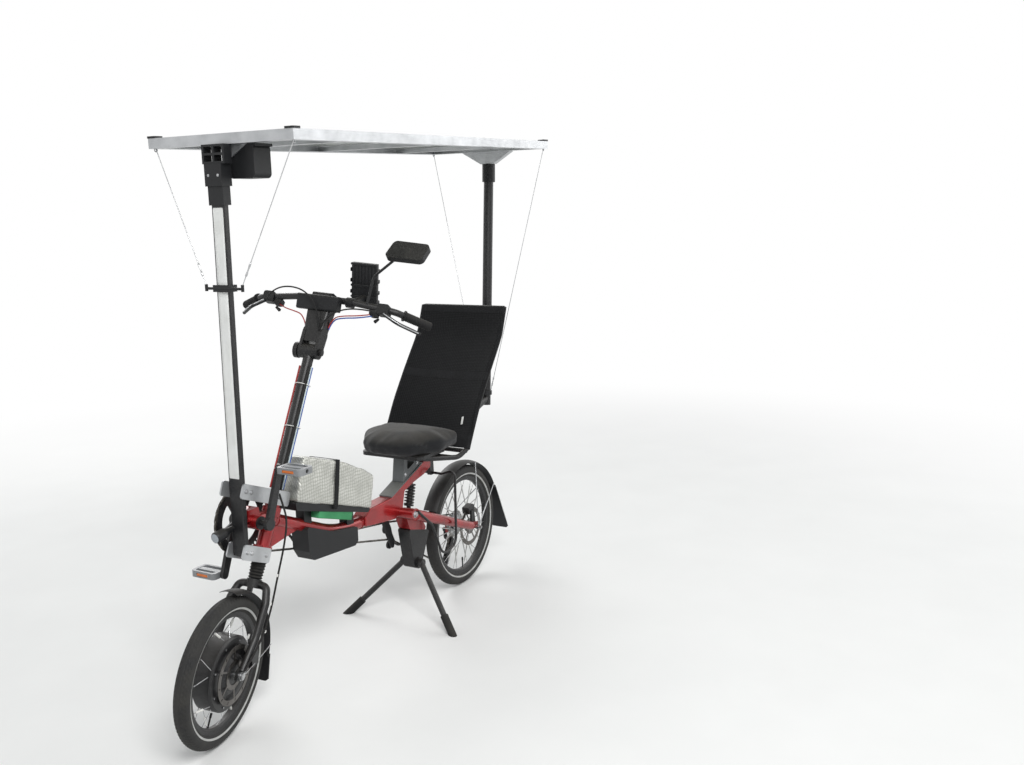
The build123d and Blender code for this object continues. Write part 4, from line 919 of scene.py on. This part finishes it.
for side, name in ((-1, "Right"), (1, "Left")):
    edge = [(-14, side * 214, 1172), (-22, side * 262, 1147), (-60, side * 300, 1141), (-90, side * 321, 1140)]
    cable("leverEdge" + name, edge, 2.2, "brightSteel", "handlebar", steered)
mirrorOut, mirrorAcross = unit(mirror["out"]), unit(mirror["across"])
mirrorFace = slab(np.array(mirror["centre"]) - mirrorOut * 0.6, mirrorAcross, np.cross(mirrorAcross, mirrorOut),
                  mirror["size"], 18, 0.4)
piece("mirrorGlass", [mirrorFace], "mirrorGlass", "handlebar", place=steered)
print("handlebar fittings made")

# Cables along the mast, from the bars, and down the fork: name, radius, finish, then forward and left of the axis
mastTop, mastLow = 960, 560
for name, radius, paint, forward, y in (
    ("mastCableRed", 3.0, "redCable", 4, -20.5),
    ("mastCableBlue", 2.6, "blueCable", -4, 20),
    ("mastCablePale", 2.6, "paleCable", 4, 20.5),
    ("mastCableBlack", 5.0, "blackRubber", 14, 17.5),
):
    run = [(forward, y, mastTop), (forward * 0.9, y, 860), (forward * 1.1, y * 1.03, 760), (forward, y, 660),
           (forward, y, mastLow)]
    cable(name, run, radius, paint, "steering", steered)
piece("mastTies", [ringShape((-2, 2, s), (0, 0, 1), 24.5, 1.4, 40) for s in (900, 760, 620)], "whiteTie", "steering",
      place=steered)
barCables = (
    ("brakeHoseRight", 2.5, "blackRubber", [(-20, -205, 1172), (20, -190, 1178), (60, -120, 1206), (58, -40, 1200),
                                            (34, 6, 1150), (20, 20, 1090)]),
    ("brakeHoseLeft", 2.5, "blackRubber", [(-20, 205, 1172), (18, 180, 1168), (40, 100, 1158), (34, 40, 1120),
                                           (22, 22, 1080)]),
    ("shiftWireBlue", 2.2, "blueCable", [(-34, 168, 1164), (-20, 130, 1148), (-18, 80, 1142), (-16, 44, 1130),
                                         (-18, 38, 1096)]),
    ("shiftWireRed", 2.0, "redCable", [(-34, 166, 1170), (-16, 130, 1154), (-14, 80, 1148), (-10, 46, 1136),
                                       (-12, 38, 1100)]),
    ("switchWireRed", 2.0, "redCable", [(-34, -166, 1168), (-8, -130, 1150), (6, -90, 1140), (8, -50, 1130),
                                        (2, -36, 1096)]),
)
for name, radius, paint, run in barCables:
    cable(name, run, radius, paint, "handlebar", steered)
leadRun = [(20, 22, 545), (24, 40, 520), (12, 66, 470), (8, 74, 390), (8, 76, 298), (4, 78, 222), (10, 79, 150),
           (30, 78, 90), (60, 76, 40), (68, 72, 16)]
cable("frontLead", leadRun, 3.2, "blackRubber", "steering", steered)
tags = [slab((7, 76, s), (1, 0, 0), (0, 0, 1), (16, 9, 4), 2, 1) for s in (300, 214, 132)]
piece("leadTags", tags, "whiteTie", "steering", place=steered)
print("cables made")


# A hexagon head with a chamfered top, on a round washer.
def bolt(centre, outward, size, washer=True):
    centre, outward = np.array(centre, float), np.array(outward, float)
    head = [(0, 0), (0, size), (size * 0.6, size), (size * 0.72, size * 0.82), (size * 0.72, 0)]
    shapes = [lathe(centre + outward * 1.2, centre + outward * 9, head, 6)]
    if washer:
        flat = [(0, 0), (0, size * 1.45), (1.2, size * 1.45), (1.4, size * 1.3), (1.4, 0)]
        shapes.append(lathe(centre, centre + outward * 2, flat, 28))
    return shapes


# Bolts and nuts: each has a place, the way it faces and its radius
def boltSet(name, spots, body, washer=True, place=None):
    shapes = [shape for centre, outward, size in spots for shape in bolt(centre, outward, size, washer)]
    piece(name, shapes, "brightSteel", body, smooth=False, place=place)


plateSpots = ((470, 678), (590, 726), (612, 735), (545, 514), (606, 541), (624, 549))
boltSet("plateBolts", [((x, side * 29.2, z), (0, side, 0), 5.0) for x, z in plateSpots for side in (-1, 1)], "frame")
boltSet("frameBolts", [((-178, side * 92, 442), (0, side, 0), 9) for side in (1, -1)]
        + [((x, side * 24, z), (0, side, 0), 4.5) for side in (-1, 1) for x, z in ((-222, 575), (-300, 602))]
        + [((617.5, y, 1655), (1, 0, 0), 4.5) for y in (-18, 18)], "frame")
boltSet("motorBolts", [(onWheel(96, number * math.pi / 4, side * 31.2), (0, side, 0), 3.2)
                       for number in range(8) for side in (-1, 1)], "front_wheel", False, frontPlaced)
boltSet("discBolts", [(onWheel(27, number * math.pi / 3, 44.9), (0, 1, 0), 2.6) for number in range(6)],
        "rear_wheel", False, rearPlaced)
boltSet("frontAxleNuts", [((0, side * 66, 0), (0, side, 0), 9) for side in (-1, 1)], "steering", place=frontPlaced)

# Front mudguard stays, from the axle's ends to the guard's rear half
for side, name in ((-1, "Right"), (1, "Left")):
    for number, angle in enumerate((118, 158)):
        x, y, z = onWheel(238, math.radians(angle), side * 31)
        cable("frontStay" + name + str(number), [(0, side * 72, 4), (x * 0.5, side * 54, z * 0.5), (x, y, z)], 1.7,
              "drawnSteel", "steering", frontPlaced)

# White reflecting strip on the front post, lamp lens, pedal reflectors
stripUp = leaned(-1)
stripMiddle = np.array((629.6, 0, 535)) + 240 * np.array((stripUp[0], 0, 1)) + stripUp * 395
piece("postStrip", [slab(stripMiddle, (0, 1, 0), stripUp, (38, 790, 1.2), 3, 0.4)], "whiteStrip", "frame")
lensOut = leaned(97)
lensBack = np.array((636, -20, 619)) + lensOut * 64
lens = lathe(lensBack, lensBack + lensOut * 4, [(0, 0), (0, 14), (2.4, 14), (3.6, 9), (4, 0)], 40)
piece("lampLens", [lens], "clearLens", "frame")
for name, side in (("left", 1), ("right", -1)):
    x, y, z = np.array((567, 0, 626)) + side * (leaned(-21) * 172 + np.array((0, 128, 0)))
    shapes = [slab((x + end * 30.6, y, z), (0, 1, 0), (0, 0, 1), (44, 8.4, 3.4), 1.5, 0.5) for end in (-1, 1)]
    piece(name + "PedalReflectors", shapes, "amberLens", name + "_pedal")

# Roof: eye bolts at the corners, and line tensioners near the clamps
eyes = []
for x, z in ((577, 1738), (-953, 1774)):
    for y in (262, -262):
        eyes.append(ringShape((x, y, z), (0, 1, 0), 5, 1.6, 24))
        eyes += bolt((x, y, z + 36), (0, 0, 1), 4.5)
piece("eyeBolts", eyes, "brightSteel", "frame")
tensioners = []
barrel = [(0, 0), (0, 1.4), (2, 3), (12, 3), (14, 2.2), (28, 2.2), (30, 3), (40, 3), (42, 1.4), (42, 0)]
for top, low in (((577, -262, 1742), (620, -58, 1345)), ((577, 262, 1742), (620, 80, 1345)),
                 ((-953, -262, 1776), (-884, -24, 768)), ((-953, 262, 1776), (-884, 24, 768))):
    along = unit(np.subtract(top, low))
    start = np.array(low, float) + along * 30
    tensioners.append(lathe(start, start + along * 42, barrel, 16))
piece("lineTensioners", tensioners, "drawnSteel", "frame")

# Weld beads round the frame's joints: centre, the tube's direction, radius
welds = (
    ((465, 0, 601.5), (0.913, 0, 0.409), 20.5),
    ((543, 0, 626), (1, 0, 0), 19.3),
    ((41, 0, 464.5), (1, 0, 0.08), 20.5),
    ((-201, 75, 432.5), (0.925, 0, 0.38), 21.3),
    ((-201, -75, 432.5), (0.925, 0, 0.38), 21.3),
)
piece("weldBeads", [ringShape(*weld, 2.0, 64, 0.12) for weld in welds], "redLacquer", "frame")
print("small parts made")

# Floor and light
studio = {"floorSize": 60.0, "floorTones": ("e9e9e7", "f0f0ee"), "worldStrength": 0.5, "fadeFrom": 2.2, "fadeTo": 5.5,
          "aim": (0, 0, 0.7)}
lamps = (
    # name, place, power, size
    ("keyLight", (3.0, 3.5, 4.5), 230, 2.6),
    ("fillLight", (-4.0, 3.0, 3.0), 70, 4.0),
    ("rimLight", (-2.5, -4.0, 3.5), 110, 3.0),
)


# 1 for camera, mirror and see-through rays: these see the backdrop as plain white.
def seenDirectly(tree):
    path = addNode(tree, "LightPath").outputs
    seen = addNode(tree, "Math", {0: path["Is Camera Ray"], 1: path["Is Glossy Ray"]}, operation="MAXIMUM")
    return addNode(tree, "Math", {0: seen, 1: path["Is Transmission Ray"]}, operation="MAXIMUM")


def buildStudio(settings):
    half = settings["floorSize"] / 2
    mesh = bpy.data.meshes.new("studioFloor")
    mesh.from_pydata([(-half, -half, 0), (half, -half, 0), (half, half, 0), (-half, half, 0)], [], [(0, 1, 2, 3)])
    paint, tree = newMaterial("paleFloor")
    place = addNode(tree, "TexCoord").outputs["Object"]
    reach = addNode(tree, "VectorMath", {0: place}, operation="LENGTH").outputs["Value"]
    far = addNode(tree, "MapRange", {"Value": reach}, From_Min=settings["fadeFrom"],
                  From_Max=settings["fadeTo"], interpolation_type="SMOOTHSTEP")
    share = addNode(tree, "Math", {0: far, 1: seenDirectly(tree)}, operation="MULTIPLY")
    speckle = addNode(tree, "TexNoise", {"Vector": place}, Scale=3.0, Detail=4.0)
    first, second = (colour(tone) for tone in settings["floorTones"])
    tone = addNode(tree, "Mix", {"Factor": speckle, 6: first, 7: second}, data_type="RGBA")
    matt = addNode(tree, "BsdfDiffuse", {"Color": tone.outputs[2]})
    white = addNode(tree, "Emission", Color=(1, 1, 1, 1), Strength=1.0)
    both = addNode(tree, "MixShader", {0: share, 1: matt, 2: white})
    addNode(tree, "OutputMaterial", {"Surface": both})
    mesh.materials.append(paint)
    newObject("studioFloor", mesh)
    world = bpy.data.worlds.new("studioWorld")
    bpy.context.scene.world = world
    world.use_nodes = True
    tree = world.node_tree
    tree.nodes.clear()
    soft = addNode(tree, "Background", Color=colour("eef1f4"), Strength=settings["worldStrength"])
    white = addNode(tree, "Background", Color=(1, 1, 1, 1), Strength=1.0)
    both = addNode(tree, "MixShader", {0: seenDirectly(tree), 1: soft, 2: white})
    addNode(tree, "OutputWorld", {"Surface": both})
    for name, place, power, size in lamps:
        lamp = bpy.data.lights.new(name, "AREA")
        lamp.energy = power
        lamp.size = size
        holder = newObject(name, lamp)
        holder.location = place
        aim = Vector(settings["aim"]) - Vector(place)
        holder.rotation_euler = aim.to_track_quat("-Z", "Y").to_euler()


buildStudio(studio)
print("studio built")
